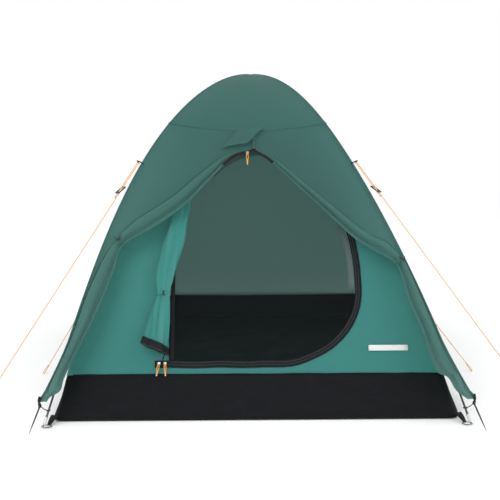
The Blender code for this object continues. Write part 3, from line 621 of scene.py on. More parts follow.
def make_guy(place, eye, peg, root_point, end):
    """Both strands, the knot under the runner and the webbing loop of one line."""
    main, short, along, side = guy_points(eye, peg)
    line = cord_curve(f"guy_cord_{place}", main)
    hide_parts(f"guy_line_{place}")
    knot_path = [short[-1] + side * cos(turn) * 0.0022 + along * (turn * 0.0006 - 0.002)
                 + side.cross(along) * sin(turn) * 0.0022 for turn in (step * 0.7 for step in range(14))]
    knot = tube(f"guy_knot_{place}", knot_path, CORD_R * 0.9, orange_cord,
                f"runner_{place}", 8)
    strand = tube(f"guy_strand_{place}", short, CORD_R, orange_cord, None, 10)
    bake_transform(strand)
    running(main)[-1]
    running(short)[-1]
    loop = [root_point + (eye - root_point) * 1.35 * sin(turn) + side * 0.010 * cos(turn)
            for turn in turns(12, pi)]
    tape(f"guy_loop_{place}", loop, [along.cross(side).normalized()] * 13, 0.010, 0.0014, black_webbing)
    print(f"guy line {place}: {running(main)[-1]:.2f} m to the peg and "
          f"{running(short)[-1]:.2f} m to the runner")


for hand, word in SIDES:
    make_guy(f"front_{word}", *front_guy(hand), "object")
    make_guy(f"side_{word}", *side_guy(hand), "knot")

# %% [markdown]
# ## Poles, pegs and fittings
# These keep the shapes that the frame gives them. Their wire and rod were made with few sides, so
# a subdivision rounds them, after a weld that joins the points which the file format keeps apart.
# Moulded parts get a small bevel instead, because their edges are only just broken. Each joint of
# a pole has a steel ferrule, made here as a sleeve with rolled ends.


# %% Hard parts
def round_wire(name, finish, levels=2):
    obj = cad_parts[name]
    weld = obj.modifiers.new("weld", "WELD")
    weld.merge_threshold = 0.00005
    smooth = obj.modifiers.new("round", "SUBSURF")
    smooth.levels = smooth.render_levels = levels
    obj.data.materials[0] = finish


def break_edges(name, finish, width):
    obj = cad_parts[name]
    weld = obj.modifiers.new("weld", "WELD")
    weld.merge_threshold = 0.00005
    bevel = obj.modifiers.new("break", "BEVEL")
    bevel.width, bevel.segments, bevel.harden_normals = width, 3, True
    obj.data.materials[0] = finish


def pole_line(which):
    """Fine points along one pole from its front foot to its rear foot, and their lengths."""
    arch, hand = POLES[which]
    last = sqrt(1 - 0.012 / arch.rise)
    path = []
    for step in range(401):
        spread = last * (2 * step / 400 - 1)
        z = arch.rise * (1 - spread * spread)
        path.append(Vector((-hand * arch.half_x * spread + lean(z), arch.half_y * spread, z)))
    return path, running(path)


def stretch_of(path, lengths, first, last, steps=8):
    """Points of a path between two lengths."""
    found = []
    for wanted in (first + (last - first) * step / steps for step in range(steps + 1)):
        index = next((i for i in range(1, len(path)) if lengths[i] >= wanted), len(path) - 1)
        share = (wanted - lengths[index - 1]) / (lengths[index] - lengths[index - 1])
        found.append(path[index - 1].lerp(path[index], min(max(share, 0.0), 1.0)))
    return found


def make_ferrules(which):
    path, lengths = pole_line(which)
    section = lengths[-1] / 6
    spans = [(section * n - 0.0305, section * n + 0.0305) for n in range(1, 6)]
    spans += [(0.0002, 0.0305), (lengths[-1] - 0.0305, lengths[-1] - 0.0002)]
    rolled = [0.0053, 0.0056, 0.0056] + [0.0055] * 3 + [0.0056, 0.0056, 0.0053]
    for number, (first, last) in enumerate(spans, 1):
        tube(f"ferrule_{which}_{number}", stretch_of(path, lengths, first, last), rolled,
             bright_steel, sides=16)


for which in ("lower", "upper"):
    for number in range(1, 7):
        round_wire(f"pole_{which}_section_{number}", fibreglass, 1)
    round_wire(f"shock_cord_{which}", black_webbing, 1)
    make_ferrules(which)
for hand_y, end in ENDS:
    for hand_x, word in SIDES:
        round_wire(f"ring_pin_{end}_{word}", dark_steel)
        round_wire(f"corner_peg_{end}_{word}", dark_steel)
for hand, word in SIDES:
    round_wire(f"guy_peg_{word}", bright_steel)
    for end in ("front", "side"):
        break_edges(f"runner_{end}_{word}", black_plastic, 0.0008)
for name in ("outer_zip_slider", "mesh_zip_slider", "fly_zip_slider"):
    break_edges(name, bright_steel, 0.0004)
print("hard parts: 12 pole sections, 14 ferrules, 6 pegs, 4 ring pins, 4 runners, 3 sliders")

# %% [markdown]
# ## Bathtub floor
# The floor sheet is one cut of tarpaulin whose edges are turned up and sewn at the corners, so
# that ground water can't run in. It is made as rings that grow from the middle of the floor, turn
# the corner and climb to the seam. The walls are slack between the corners and bow a little.

# %% Floor
FLOOR_X, FLOOR_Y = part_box("floor_tub")[1].x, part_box("floor_tub")[1].y


def rounded_ring(half_x, half_y, radius, z, steps=26):
    """Points round a rectangle with rounded corners, dense along its sides."""
    corners = []
    for sign_x, sign_y, first in ((1, -1, -90), (1, 1, 0), (-1, 1, 90), (-1, -1, 180)):
        for turn in (first, first + 30, first + 60, first + 90):
            corners.append((sign_x * (half_x - radius) + radius * cos(radians(turn)),
                            sign_y * (half_y - radius) + radius * sin(radians(turn))))
    found = []
    for index, (here, there) in enumerate(zip(corners, corners[1:] + corners[:1])):
        count = steps if index % 4 == 3 else 1
        for step in range(count):
            share = step / count
            found.append(Vector((here[0] + (there[0] - here[0]) * share + lean(z),
                                 here[1] + (there[1] - here[1]) * share, z)))
    return found + found[:1]


def close_middle(obj, count):
    """Fills the smallest ring, whose points come first."""
    mesh = bmesh.new()
    mesh.from_mesh(obj.data)
    mesh.verts.ensure_lookup_table()
    layer = mesh.loops.layers.uv.active
    middle = mesh.faces.new(mesh.verts[:count])
    middle.smooth = True
    for loop in middle.loops:
        loop[layer].uv = loop.vert.co.xy
    bmesh.ops.recalc_face_normals(mesh, faces=mesh.faces)
    mesh.to_mesh(obj.data)
    mesh.free()


def make_floor():
    top = INNER.reach(TUB_TOP)
    rim_x, rim_y = INNER.half_x * top, INNER.half_y * top
    rows = [rounded_ring(FLOOR_X * share, FLOOR_Y * share, 0.03 * share, 0.002) for share in
            (0.05, 0.2, 0.4, 0.6, 0.75, 0.88, 0.955)]
    rows += [rounded_ring(FLOOR_X - inset, FLOOR_Y - inset, 0.03, z) for inset, z in
             ((0.012, 0.0012), (0.004, 0.0035), (0.0005, 0.010))]
    for step in range(1, 13):
        share = step / 12
        z = 0.012 + (TUB_TOP - 0.012) * share
        rows.append(rounded_ring(FLOOR_X + (rim_x - FLOOR_X) * share, FLOOR_Y + (rim_y - FLOOR_Y) * share,
                                 0.03, z))
    for row in rows[:7]:
        for point in row:
            point.z += 0.002 + 0.002 * ruffle(point, 0.12)
    for row in rows[10:]:
        for point in row:
            height = point.z / TUB_TOP
            bow = sin(pi * height) * 0.0035
            on_side = abs(point.x) / FLOOR_X > abs(point.y) / FLOOR_Y
            out = Vector((point.x, 0, 0)) if on_side else Vector((0, point.y, 0))
            point += out.normalized() * (bow * ruffle(point, 0.10, 3.0) * 1.2 - bow * 0.6)
            point.z += 0.0016 * ruffle(point, 0.07, 5.0) * height
    obj = cloth("tub_sheet", rows, tub_cloth)
    close_middle(obj, len(rows[0]) - 1)
    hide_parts("floor_tub")
    rim = [Vector((point.x, point.y, point.z + 0.001)) for point in rows[-1]]
    tape("tub_seam", rim, UP, 0.006, 0.0035, tub_cloth)


make_floor()

# %% [markdown]
# ## Inner tent
# Four panels of thin polyester hang between the poles above the tub. Cloth that is pulled between
# two arches draws in at its middle, so every panel sags inwards by a few millimetres, with soft
# creases that fan out from the corners. The doorway is a hole in the front panel, cut to a D.


# %% Panels
def sag(face, arch, share, z, depth, seed):
    """How far a panel stands in from the straight line between its two arches."""
    height = 1 - z / arch.rise
    middle = sin(pi * share)
    here = arch.wall(face, 0.0, z)
    creases = noise.noise(Vector((share * 9 + seed, z * 2.2, seed * 3))) * 0.30
    corner = (1 - middle) * noise.noise(Vector((share * 22, z * 5 + seed, here.z))) * 0.25
    return -depth * middle * min(1.0, height * 2.5) * (1 + creases) - depth * corner * height


def panel_rows(arch, face, low, depth, seed, rows=46, columns=36):
    """Rows of a panel from the crown down to a height."""
    first = sqrt(1 - 0.9995)
    last = sqrt(1 - low / arch.rise)
    found = []
    for r in range(rows + 1):
        z = arch.rise * (1 - (first + (last - first) * r / rows) ** 2)
        left, right = arch.edges(face, z)
        found.append([arch.wall(face, left + (right - left) * c / columns, z,
                                sag(face, arch, c / columns, z, depth, seed)) for c in range(columns + 1)])
    return found


def make_inner_walls():
    for face, seed in (("left", 1.0), ("right", 2.0), ("rear", 3.0)):
        rows = panel_rows(INNER, face, TUB_TOP, 0.010, seed)
        obj = cloth(f"inner_panel_{face}", rows, canopy_cloth)
        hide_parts(f"inner_wall_{face}")
        declare(rows)


make_inner_walls()

# %% [markdown]
# The doorway's edge is one path: along the sill, up the free side and over. The same path, grown
# by a few millimetres, gives the hole, the net and both zips, so they always fit each other.

# %% Doorway
DOOR_LEFT, DOOR_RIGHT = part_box("mesh_door")[0].x - 0.0006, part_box("mesh_door")[1].x + 0.0006
DOOR_SILL, DOOR_TOP = 0.200, 0.980
BEND_X, BEND_Z, SPRING_Z = 0.070, 0.450, 0.480


def door_edge(grow, steps=18):
    """The D grown outwards, as x and z, from the bottom of the hinge side round to its top."""
    path = [(DOOR_LEFT - grow + (BEND_X - DOOR_LEFT + grow) * step / steps, DOOR_SILL - grow)
            for step in range(steps)]
    wide, tall = DOOR_RIGHT - BEND_X + grow, BEND_Z - DOOR_SILL + grow
    path += [(BEND_X + wide * sin(turn), BEND_Z - tall * cos(turn))
             for turn in turns(steps, pi / 2)]
    middle, half = (DOOR_LEFT + DOOR_RIGHT) / 2, (DOOR_RIGHT - DOOR_LEFT) / 2 + grow
    path += [(middle + half * cos(turn), SPRING_Z + (DOOR_TOP - SPRING_Z + grow) * sin(turn))
             for turn in turns(2 * steps, pi)]
    return path


def front_lift(x, z):
    return sag("front", INNER, INNER.share("front", x, z), z, 0.008, 4.0) * 0.6


def flat_cut(name, outline, hole, finish, lift, spacing=0.03):
    """Cloth on the front of the inner tent: triangles inside an outline, outside its hole."""
    points = [Vector(point) for point in outline]
    edges = [(i, (i + 1) % len(outline)) for i in range(len(outline))]
    if hole:
        first = len(points)
        points += [Vector(point) for point in hole]
        edges += [(first + i, first + (i + 1) % len(hole)) for i in range(len(hole))]
    low_x, high_x = min(p.x for p in points), max(p.x for p in points)
    low_z, high_z = min(p.y for p in points), max(p.y for p in points)
    rims = [(points[a].copy(), points[b].copy()) for a, b in edges]
    for r in range(int((high_z - low_z) / spacing)):
        for c in range(int((high_x - low_x) / spacing)):
            at = Vector((low_x + (c + 0.5 + 0.5 * (r % 2)) * spacing, low_z + (r + 0.5) * spacing))
            near = min(rim_distance(at, *rim) for rim in rims)
            if near > spacing * 0.4:
                points.append(at)
    found, _, faces, _, _, _ = delaunay_2d_cdt(points, edges, [], 1, 1e-6)
    if hole:
        faces = [face for face in faces
                 if not inside(sum((found[i] for i in face), Vector((0, 0))) / len(face), hole)]
    used = sorted({index for face in faces for index in face})
    renumber = {old: new for new, old in enumerate(used)}
    faces = [tuple(renumber[index] for index in face) for face in faces]
    spots = [found[index] for index in used]
    solid = [INNER.wall("front", spot.x, spot.y, lift + front_lift(spot.x, spot.y)) for spot in spots]
    return piece(name, solid, faces, finish, uv=[(spot.x, spot.y * 1.3) for spot in spots])


def rim_distance(at, here, there):
    span = there - here
    share = min(max((at - here).dot(span) / max(span.length_squared, 1e-12), 0.0), 1.0)
    return (at - here - span * share).length


def inside(at, outline):
    """Whether a spot is inside a closed outline."""
    found = False
    for (x1, z1), (x2, z2) in zip(outline, outline[1:] + outline[:1]):
        if (z1 > at.y) != (z2 > at.y) and at.x < x1 + (at.y - z1) / (z2 - z1) * (x2 - x1):
            found = not found
    return found


def front_outline(low):
    """Outline of the front panel, up one side, over the crown and down the other."""
    heights = [low + (INNER.rise * 0.9995 - low) * (step / 40) for step in range(41)]
    right = [(INNER.edges("front", z)[1], z) for z in heights]
    left = [(INNER.edges("front", z)[0], z) for z in reversed(heights)]
    sill = [(left[-1][0] + (right[0][0] - left[-1][0]) * step / 30, low) for step in range(1, 30)]
    return right + left + sill


def make_front_wall():
    wall = flat_cut("inner_panel_front", front_outline(TUB_TOP), door_edge(0.004), canopy_cloth, 0.0012)
    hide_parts("inner_wall_front")
    net = flat_cut("net_panel", door_edge(-0.0012), None, mesh_cloth, 0.0006)
    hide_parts("mesh_door")


make_front_wall()

# %% [markdown]
# ## Door zips
# Two zips run side by side round the door, one for the net and one for the cloth. Each is a coil
# of nylon sewn on black tape. The tape waves a little where it isn't under tension, along the
# sill. A pale binding is sewn along the net's edge, and a black one along its hinge side.


# %% Zips
ZIP_END = 0.86
ZIP_REACH = 0.0575
ZIP_WAVE = 0.0022
BINDING_START = 0.50


def edge_line(grow, lift, first=0.0, last=1.0, wave=0.0):
    """Points on the front that follow the doorway's edge."""
    path = door_edge(grow)
    low, high = int(first * (len(path) - 1)), int(last * (len(path) - 1))
    found = []
    for x, z in path[low:high + 1]:
        z += wave * sin(x * 34) * max(0.0, 1 - abs(z - DOOR_SILL) / 0.05)
        found.append(INNER.wall("front", x, z, lift + front_lift(x, z)))
    return found


def zip_line(grow, lift):
    """The door's edge, begun further left where the zip runs on past the hinge side."""
    path = edge_line(grow, lift, 0.0, ZIP_END, ZIP_WAVE)
    return [path[0] + Vector(((grow - ZIP_REACH) * share, 0, 0)) for share in (1.0, 0.5)] + path


def facing(path):
    """Direction across a tape that lies on the front, at each point of its path."""
    return [ahead.cross(INNER.slope("front", point.z)).normalized()
            for (ahead, _, _), point in zip(ring_frames(path), path)]


def make_zips():
    band = zip_line(0.0125, 0.0034)
    track = tape("door_zip_tape", band, facing(band), 0.024, 0.0012, zip_tape)
    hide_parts("door_zip")
    for number, grow in enumerate((0.0075, 0.0165)):
        tube(f"door_zip_coil_{number + 1}", zip_line(grow, 0.0046), 0.0019, coil_nylon, sides=8,
             flat=0.7)
    tube("door_zip_piping", zip_line(0.0245, 0.0040), 0.0022, zip_tape, sides=8)
    pale = edge_line(-0.011, 0.0016, BINDING_START, ZIP_END)
    tape("net_binding_free", pale, facing(pale), 0.020, 0.0008, binding_tape, "mesh_cloth")
    rim = edge_line(-0.022, 0.0022, BINDING_START, ZIP_END)
    tube("net_binding_roll", rim, 0.0018, binding_tape, sides=8)
    hinge = [INNER.wall("front", DOOR_LEFT + 0.008, DOOR_SILL + 0.55 * step / 12, 0.0022)
             for step in range(13)]
    tape("net_binding_hinge", hinge, facing(hinge), 0.016, 0.0010, zip_tape)
    print("zips: tape, two coils, piping and bindings")


make_zips()

# %% [markdown]
# ## Rolled door
# The cloth door is rolled up lengthwise and tied beside the doorway. A real roll is one sheet
# wound into a spiral, and that is how it is made: each row is a spiral of several turns, wide and
# loose below the tie and drawn in at it. The zip sewn on the cloth's edge shows at the lower end.

# %% Roll
ROLL = ((-0.284, 0.765, 0.028, 0.010), (-0.291, 0.725, 0.033, 0.012), (-0.311, 0.631, 0.039, 0.016),
    (-0.333, 0.538, 0.036, 0.018), (-0.344, 0.481, 0.032, 0.018), (-0.350, 0.447, 0.025, 0.017),
    (-0.351, 0.427, 0.022, 0.016), (-0.353, 0.407, 0.026, 0.017), (-0.359, 0.371, 0.034, 0.019),
    (-0.367, 0.298, 0.042, 0.021), (-0.373, 0.240, 0.048, 0.022))
ROLL_TIE = 6
ROLL_TURNS = 3.4
ROLL_STAND = 0.009


def roll_rows(rows=64, columns=120):
    found = []
    for r in range(rows + 1):
        x, z, half_w, half_d = blend_keys(ROLL, r / rows)
        row = []
        for c in range(columns + 1):
            share = c / columns
            turn = tau * ROLL_TURNS * share + 0.6
            size = 1.0 - 0.82 * share
            folds = 1 + 0.24 * cos(3 * turn + z * 9) + 0.18 * cos(7 * turn - z * 15 + 1.0)
            folds += 0.16 * noise.noise(Vector((cos(turn) * 1.6, sin(turn) * 1.6, z * 11)))
            low = max(0.0, 1 - (z - 0.24) / 0.10)
            at_x = half_w * size * folds * cos(turn)
            out = half_d * size * folds * sin(turn)
            slant = -0.42 * at_x * low
            here = INNER.wall("front", x + at_x, z + slant, half_d * 1.05 + ROLL_STAND + out)
            row.append(here)
        found.append(row)
    return found


def make_roll():
    rows = roll_rows()
    obj = cloth("door_roll", rows, canopy_cloth)
    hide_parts("rolled_door")
    end = [point + Vector((0, -0.001, 0.004)) for point in rows[-1]]
    ups = [(rows[-2][c] - rows[-1][c]).normalized() for c in range(len(end))]
    tape("door_roll_zip", end, ups, 0.030, 0.0022, zip_tape)
    coil = [point - up * 0.013 for point, up in zip(end, ups)]
    tube("door_roll_coil", coil, 0.0018, coil_nylon, sides=8)
    tail = [end[0].lerp(Vector((-0.352, end[0].y + 0.01, 0.205)), share) for share in (0.0, 0.3, 0.6, 1.0)]
    tape("door_roll_tail", tail, UP, 0.012, 0.0016, zip_tape)
    x, z, half_w, half_d = ROLL[ROLL_TIE]
    centre = INNER.wall("front", x, z, half_d * 1.05 + ROLL_STAND)
    out = INNER.slope("front", z)
    down = Vector((1, 0, 0)).cross(out).normalized()
    loop = [centre + Vector((1, 0, 0)) * (half_w * 1.12 + 0.001) * cos(turn) + out * (half_d * 1.12 + 0.001)
            * sin(turn) for turn in turns(24)]
    tie = tape("roll_tie", loop, down, 0.010, 0.0014, canopy_cloth, "black_webbing")
    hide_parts("door_roll_tie")
    toggle = [centre + out * (half_d * 1.12 + 0.006) + down * (step * 0.0045 - 0.009) for step in range(5)]
    tube("roll_toggle", toggle, [0.0026, 0.0034, 0.0036, 0.0034, 0.0026], black_plastic, sides=12)


make_roll()

# %% [markdown]
# ## Flysheet
# The flysheet is one sewn cover. A cap over the crown is joined to the lower panels by a seam that
# dips at the middle of each face, and a piped seam follows each pole. The front is two halves that
# part at a zip. Each half is folded back from the peak to a tie on the pole, and the loose cloth
# gathers there in pleats before it fans out again to the corner. Every row of a half runs from the
# pole to the folded edge, and its last stretch follows a pleat's outline.

# %% Flysheet panels
SEAM_Z, SEAM_DIP = 1.086, 0.025
FLY_SAG = 0.012
FLY_SEEDS = {"left": 5.0, "right": 6.0, "rear": 7.0, "front": 8.0}


def make_fly_walls():
    for face in ("left", "right", "rear"):
        rows = panel_rows(FLY, face, HEM, FLY_SAG, FLY_SEEDS[face], rows=60, columns=44)
        obj = cloth(f"fly_panel_{face}", rows, fly_cloth)
        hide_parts(f"fly_{face}")
        declare(rows)
        seam = [face_point(face, share, seam_height(share)) for share in (step / 40 for step in range(41))]
        tape(f"fly_seam_{face}", seam, UP, 0.010, 0.0022, fly_cloth)
        hem = [point + UP * 0.006 for point in rows[-1]]
        tape(f"fly_hem_{face}", hem, UP, 0.014, 0.0030, fly_cloth)


def seam_height(share):
    return SEAM_Z - SEAM_DIP * sin(pi * share)


def face_point(face, share, z, lift=0.0012):
    left, right = FLY.edges(face, z)
    lift += sag(face, FLY, share, z, FLY_SAG, FLY_SEEDS[face])
    return FLY.wall(face, left + (right - left) * share, z, lift)


def make_cap_front():
    """The front of the crown's cap, down to the seam."""
    rows = []
    for r in range(25):
        row = []
        for c in range(37):
            share = c / 36
            low = sqrt(1 - seam_height(share) / FLY.rise)
            spread = 0.022 + (low - 0.022) * r / 24
            row.append(face_point("front", share, FLY.rise * (1 - spread * spread), 0.0))
        rows.append(row)
    obj = cloth("fly_cap_front", rows, fly_cloth)
    declare(rows)
    seam = [face_point("front", step / 40, seam_height(step / 40), 0.0014) for step in range(41)]
    tape("fly_seam_front", seam, UP, 0.010, 0.0024, fly_cloth)


def make_crown_patch(reach=0.062, turns=32, rings=6):
    """Rounded patch sewn over the point where the four faces meet."""
    rows = []
    for ring in range(rings + 1):
        row = []
        for step in range(turns + 1):
            turn, far = tau * step / turns, reach * (0.02 + 0.98 * ring / rings)
            spread = far * max(abs(cos(turn)), abs(sin(turn)))
            z = FLY.rise * (1 - spread * spread)
            row.append(Vector((FLY.half_x * far * cos(turn) + lean(z), FLY.half_y * far * sin(turn),
                               z + 0.0009)))
        rows.append(row)
    patch = cloth("crown_patch", rows, fly_cloth)
    close_middle(patch, turns)
    tube("crown_patch_edge", rows[-1], 0.0010, fly_cloth, sides=8)


make_fly_walls()
make_cap_front()
make_crown_patch()

# %% [markdown]
# The keys below go down each folded edge: its x and z, the height on the pole where that row
# begins, the width of the gathered cloth, and how deep its pleats are.

# %% Front halves
LEFT_KEYS = ((0.000, 1.061, 1.086, 0.004, 0.0), (0.000, 0.985, 1.050, 0.012, 0.0),
    (-0.086, 0.955, 1.000, 0.034, 0.5), (-0.180, 0.863, 0.925, 0.055, 0.9),
    (-0.273, 0.771, 0.850, 0.064, 1.0), (-0.385, 0.695, 0.775, 0.060, 1.0),
    (-0.464, 0.652, 0.705, 0.042, 0.9), (-0.497, 0.630, 0.665, 0.030, 0.7),
    (-0.520, 0.600, 0.625, 0.036, 0.8), (-0.536, 0.534, 0.545, 0.060, 1.1),
    (-0.576, 0.428, 0.432, 0.068, 1.2), (-0.613, 0.346, 0.349, 0.070, 1.1),
    (-0.658, 0.258, 0.260, 0.066, 1.0), (-0.696, 0.177, 0.180, 0.058, 0.8),
    (-0.708, 0.135, 0.137, 0.044, 0.6), (-0.741, 0.116, 0.117, 0.022, 0.4),
    (-0.752, 0.101, 0.101, 0.014, 0.2))
RIGHT_KEYS = ((0.000, 1.061, 1.086, 0.004, 0.0), (0.000, 0.985, 1.050, 0.010, 0.0),
    (0.060, 0.944, 0.995, 0.024, 0.5), (0.166, 0.846, 0.905, 0.036, 0.8), (0.272, 0.748, 0.810, 0.042, 0.9),
    (0.378, 0.650, 0.715, 0.046, 1.0), (0.460, 0.600, 0.655, 0.044, 0.9), (0.525, 0.562, 0.592, 0.026, 0.7),
    (0.549, 0.515, 0.530, 0.038, 0.8), (0.567, 0.434, 0.440, 0.060, 1.0), (0.588, 0.380, 0.384, 0.066, 1.0),
    (0.609, 0.328, 0.331, 0.072, 1.0), (0.648, 0.197, 0.200, 0.070, 0.8), (0.690, 0.170, 0.172, 0.052, 0.7),
    (0.713, 0.130, 0.132, 0.036, 0.5), (0.742, 0.108, 0.109, 0.020, 0.3), (0.752, 0.101, 0.101, 0.014, 0.2))
LEFT_PLEATS = ((0.0, 0.0), (0.02, -0.014), (0.07, -0.014), (0.08, 0.004), (0.12, 0.012), (0.20, 0.015),
    (0.33, 0.015), (0.50, 0.011), (0.60, 0.004), (0.68, -0.005), (0.74, -0.007), (0.80, -0.005),
    (0.90, 0.004), (0.97, 0.003), (1.0, -0.002), (0.95, -0.006), (0.84, -0.006))
RIGHT_PLEATS = ((0.0, 0.0), (0.03, -0.010), (0.07, -0.010), (0.08, 0.004), (0.14, 0.012), (0.28, 0.015),
    (0.44, 0.013), (0.54, 0.004), (0.60, -0.007), (0.68, -0.006), (0.80, 0.000), (0.94, 0.001), (1.0, -0.001),
    (0.96, -0.006), (0.84, -0.006))


def fly_lift(x, z):
    return sag("front", FLY, FLY.share("front", x, z), z, FLY_SAG, FLY_SEEDS["front"])


def half_rows(hand, keys, pleats, rows=110, columns=26):
    """Rows from the pole to the folded edge: plain cloth first, then the pleats' outline."""
    found = []
    for r in range(rows + 1):
        x, z, pole_z, width, depth = blend_keys(keys, r / rows)
        z, pole_z = max(z, HEM), max(pole_z, HEM)
        pole_x = FLY.corner(hand, -1, pole_z).x
        run = Vector((pole_x - x, pole_z - z))
        width = min(width / max(abs(run.normalized().x), 0.5), run.length * 0.9)
        join = Vector((x, z)) + run.normalized() * width
        row = []
        for c in range(columns):
            share = c / columns
            at = Vector((pole_x, pole_z)).lerp(join, share)
            row.append(FLY.wall("front", at.x, at.y, fly_lift(at.x, at.y)))
        base = fly_lift(join.x, z)
        for step in range(3 * (len(pleats) - 1) + 1):
            a, n = blend_keys(pleats, step / (3 * (len(pleats) - 1)))
            wobble = 1 + 0.35 * noise.noise(Vector((a * 2.5, r / rows * 9, hand * 4.0)))
            at = join.lerp(Vector((x, z)), a)
            row.append(FLY.wall("front", at.x, max(at.y, HEM * 0.98), base * (1 - a) + n * depth * wobble))
        found.append(row)
    return found


def make_fly_front():
    for (hand, word), keys, pleats in zip(SIDES, (LEFT_KEYS, RIGHT_KEYS), (LEFT_PLEATS, RIGHT_PLEATS)):
        rows = half_rows(hand, keys, pleats)
        obj = cloth(f"fly_half_{word}", rows, fly_cloth)
        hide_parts(f"fly_front_{word}")
        declare(rows)


make_fly_front()
# %% Pole seams
for hand_y, end in ENDS:
    for hand_x, word in SIDES:
        heights = [CROWN * (1 - (0.012 + (0.9605 - 0.012) * step / 60) ** 2) for step in range(61)]
        out = Vector((hand_x * FLY.half_y, hand_y * FLY.half_x, 0.6)).normalized()
        path = [FLY.corner(hand_x, hand_y, max(z, HEM)) - out * 0.0022 for z in heights]
        tube(f"fly_pole_seam_{end}_{word}", path, 0.0034, fly_cloth, sides=8)
print("flysheet: five panels, a cap and four pole seams")

# %% [markdown]
# ## Peak, storm flap and ties
# Where the two halves part, a storm flap covers the top of the zip, the black zip tape shows along
# both edges for a hand's width, and the slider hangs at the peak with its pull. Each folded half is
# held by a short band with a toggle.

# %% Peak
STORM = ((0.064, 1.064), (-0.036, 1.058), (-0.100, 0.988), (-0.002, 0.998))


def storm_rows(rows=30, columns=10, lift=0.0062, tilt=0.010):
    """Rows from the flap's outer edge to its inner one, which stands out from the front."""
    a, b, c, d = (Vector(corner) for corner in STORM)
    found = []
    for r in range(rows + 1):
        left, right = b.lerp(c, r / rows), a.lerp(d, r / rows)
        row = []
        for k in range(columns + 1):
            at = left.lerp(right, k / columns)
            bulge = sin(pi * k / columns) * 0.0025
            row.append(FLY.wall("front", at.x + lean(at.y), at.y, lift + bulge + tilt * k / columns))
        found.append(row)
    return found


def make_peak():
    rows = storm_rows()
    flap = cloth("storm_flap_cloth", rows, fly_cloth)
    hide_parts("storm_flap")
    declare(rows)
    for name, column in (("edge", -1), ("top", 0)):
        tube(f"storm_flap_{name}", [row[column] for row in rows], 0.0016, fly_cloth, sides=8)
    for (hand, word), keys, last in zip(SIDES, (LEFT_KEYS, RIGHT_KEYS), (0.150, 0.135)):
        path = []
        for step in range(13):
            x, z, _, _, _ = blend_keys(keys, 1 / (len(keys) - 1) + (last - 1 / (len(keys) - 1)) * step / 12)
            path.append(FLY.wall("front", x, z - 0.002, 0.004))
        across = [ahead.cross(FLY.slope("front", p.z)).normalized()
                  for (ahead, _, _), p in zip(ring_frames(path), path)]
        tape(f"fly_zip_tape_{word}", path, across, 0.013, 0.0014, zip_tape)
        coil = [p + FLY.slope("front", p.z) * 0.0016 - a * hand * 0.004 for p, a in zip(path, across)]
        tube(f"fly_zip_coil_{word}", coil, 0.0016, coil_nylon, sides=8)


def band_loop(centre, wide, deep, ahead, out):
    """Closed loop round a bundle that runs along ahead."""
    across = ahead.cross(out).normalized()
    return [centre + across * wide * cos(turn) + out * deep * sin(turn)
            for turn in turns(24)]


def make_flap_ties():
    for (hand, word), (x, z), ahead in zip(SIDES, ((-0.5215, 0.6400), (0.5500, 0.5680)),
                                           (Vector((-0.72, 0, -0.69)), Vector((0.72, 0, -0.69)))):
        out = FLY.slope("front", z)
        ahead = (ahead - out * ahead.dot(out)).normalized()
        centre = FLY.wall("front", x, z, 0.006)
        loop = band_loop(centre, 0.020, 0.014, ahead, out)
        tie = tape(f"flap_band_{word}", loop, ahead, 0.009, 0.0014, fly_cloth, "black_webbing")
        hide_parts(f"flap_tie_{word}")
        toggle = [centre + out * 0.018 + ahead * (step * 0.005 - 0.010) for step in range(5)]
        tube(f"flap_toggle_{word}", toggle, [0.0028, 0.0038, 0.0040, 0.0038, 0.0028], black_plastic, sides=12)


make_peak()
make_flap_ties()
print("peak: storm flap, zip tapes, two ties")

# %% [markdown]
# ## Zip pulls
# Each slider carries a loop of the same orange cord, closed by a moulded tip, which is easy to
# find in the dark and to hold with gloves. It hangs from the slider's bridge and swings with it.


# %% Pulls
def make_pull(node, body, kick):
    low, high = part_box(node)
    bar = Vector(((low.x + high.x) / 2, (low.y + high.y) / 2, high.z - 0.0022))
    foot = Vector((bar.x + kick, low.y + 0.0022, low.z))
    down = (foot - bar).normalized()
    across = Vector((1, 0, 0))
    length = (foot - bar).length
    keys = ((0.0, 0.0), (0.10, 0.55), (0.30, 1.0), (0.50, 0.8), (0.64, 0.25), (0.70, 0.1))
    strand = [(share, side * 0.0036) for share, side in keys]
    path = [bar + down * length * share - across * side for share, side in reversed(strand)]
    path += [bar + down * length * share + across * side for share, side in strand[1:]]
    loop = tube(f"{node}_loop", smooth_path(path, 40), 0.0016, orange_cord, body, 10)
    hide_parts(node)
    tip = [bar + down * length * share for share in (0.62, 0.66, 0.72, 0.80, 0.90, 0.97, 1.0)]
    tube(f"{node}_grip", tip[:5], [0.0022, 0.0034, 0.0040, 0.0036, 0.0028], orange_cord,
         body, 12)
    tube(f"{node}_tip", tip[4:], [0.0028, 0.0024, 0.0009], pale_tip, body, 12)


make_pull("fly_zip_pull", "fly_pull", 0.0)
make_pull("mesh_zip_pull", "mesh_pull", 0.002)
make_pull("outer_zip_pull", "outer_pull", -0.009)
print("three zip pulls")

# %% [markdown]
# ## Corners
# At each corner a webbing tab is gathered through the wire ring, whose pin stands in the end of
# the pole. The flysheet ends in its own short strap and ring, an elastic with a hook that clips on
# the pole, and a steel peg through the ring.


# %% Corners
HOOK_Z = 0.060


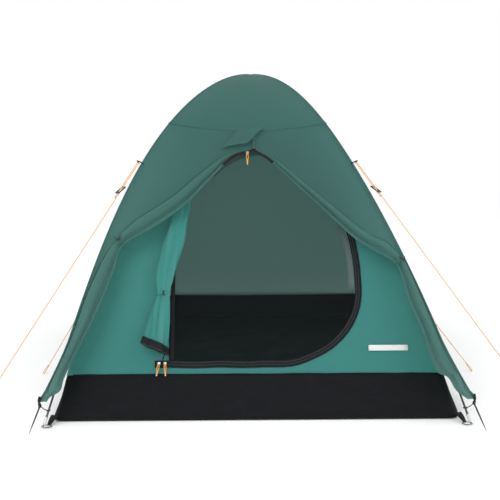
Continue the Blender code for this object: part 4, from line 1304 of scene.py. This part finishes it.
def make_corner(hand_x, hand_y, place):
    start = Vector((hand_x * (FLOOR_X - 0.010), hand_y * (FLOOR_Y - 0.004), 0.024))
    ring = Vector((hand_x * (FLOOR_X + 0.004), hand_y * (FLOOR_Y + 0.0500), 0.0062))
    out = Vector((hand_x * 0.55, hand_y * 0.83, 0)).normalized()
    across = Vector((-out.y, out.x, 0))
    middle = [start, start.lerp(ring, 0.35) + UP * 0.002,
              start.lerp(ring, 0.7) + UP * 0.001, ring]
    fine = smooth_path(middle, 12)
    widths = [0.034 - 0.021 * (step / 12) ** 1.5 for step in range(13)]
    first = tape(f"corner_strap_{place}", fine, across, widths, 0.0016, black_webbing)
    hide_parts(f"corner_tab_{place}")
    under = [point + UP * -0.0026 + out * 0.001 for point in fine]
    for point in under:
        point.z = max(point.z, 0.0012)
    tape(f"corner_strap_under_{place}", under, across, [w * 0.86 for w in widths], 0.0014, black_webbing)
    make_fly_corner(hand_x, hand_y, place, out, across)


def make_fly_corner(hand_x, hand_y, place, out, across):
    tip = FLY.corner(hand_x, hand_y, HEM)
    head = Vector((hand_x * (FLOOR_X + 0.030), hand_y * (FLOOR_Y + 0.075), 0.080))
    ring_at = head + UP * 0.004
    strap = [tip + UP * 0.020 - out * 0.004, tip + UP * 0.006,
             tip.lerp(ring_at, 0.5), ring_at]
    widths = [0.010, 0.011, 0.012, 0.012, 0.012, 0.011, 0.010, 0.010, 0.010]
    tape(f"fly_strap_{place}", smooth_path(strap, 8), across, widths, 0.0018, black_webbing)
    loop = [ring_at + (across * cos(turn) + UP * sin(turn)) * 0.0075 for turn in turns(20)]
    tube(f"fly_ring_{place}", loop, 0.0013, dark_steel, sides=8)
    arch = POLES["lower"][0]
    pole = Vector((hand_x * arch.half_x * arch.reach(HOOK_Z),
                   hand_y * arch.half_y * arch.reach(HOOK_Z), HOOK_Z))
    elastic = [ring_at, ring_at.lerp(pole, 0.5) + UP * -0.005, pole + across * 0.006]
    tube(f"fly_elastic_{place}", smooth_path(elastic, 10), 0.0016, black_webbing, sides=8)
    hook = [pole + (across * cos(turn) + out * sin(turn)) * 0.0072
            for turn in (radians(30 + 270 * step / 12) for step in range(13))]
    tube(f"fly_hook_{place}", hook, 0.0016, black_plastic, sides=8)


for hand_y, end in ENDS:
    for hand_x, word in SIDES:
        make_corner(hand_x, hand_y, f"{end}_{word}")
print("four corners")

# %% [markdown]
# ## Finish
# A blank woven label is sewn on the front panel.

# %% Label and finish
label = []
for step in range(9):
    label.append(INNER.wall("front", 0.425 + 0.150 * step / 8, 0.240, 0.0035))
tape("blank_label", label, INNER.slope("front", 0.24).cross(Vector((1, 0, 0))), 0.022, 0.0008, label_tape,
     "canopy_cloth")
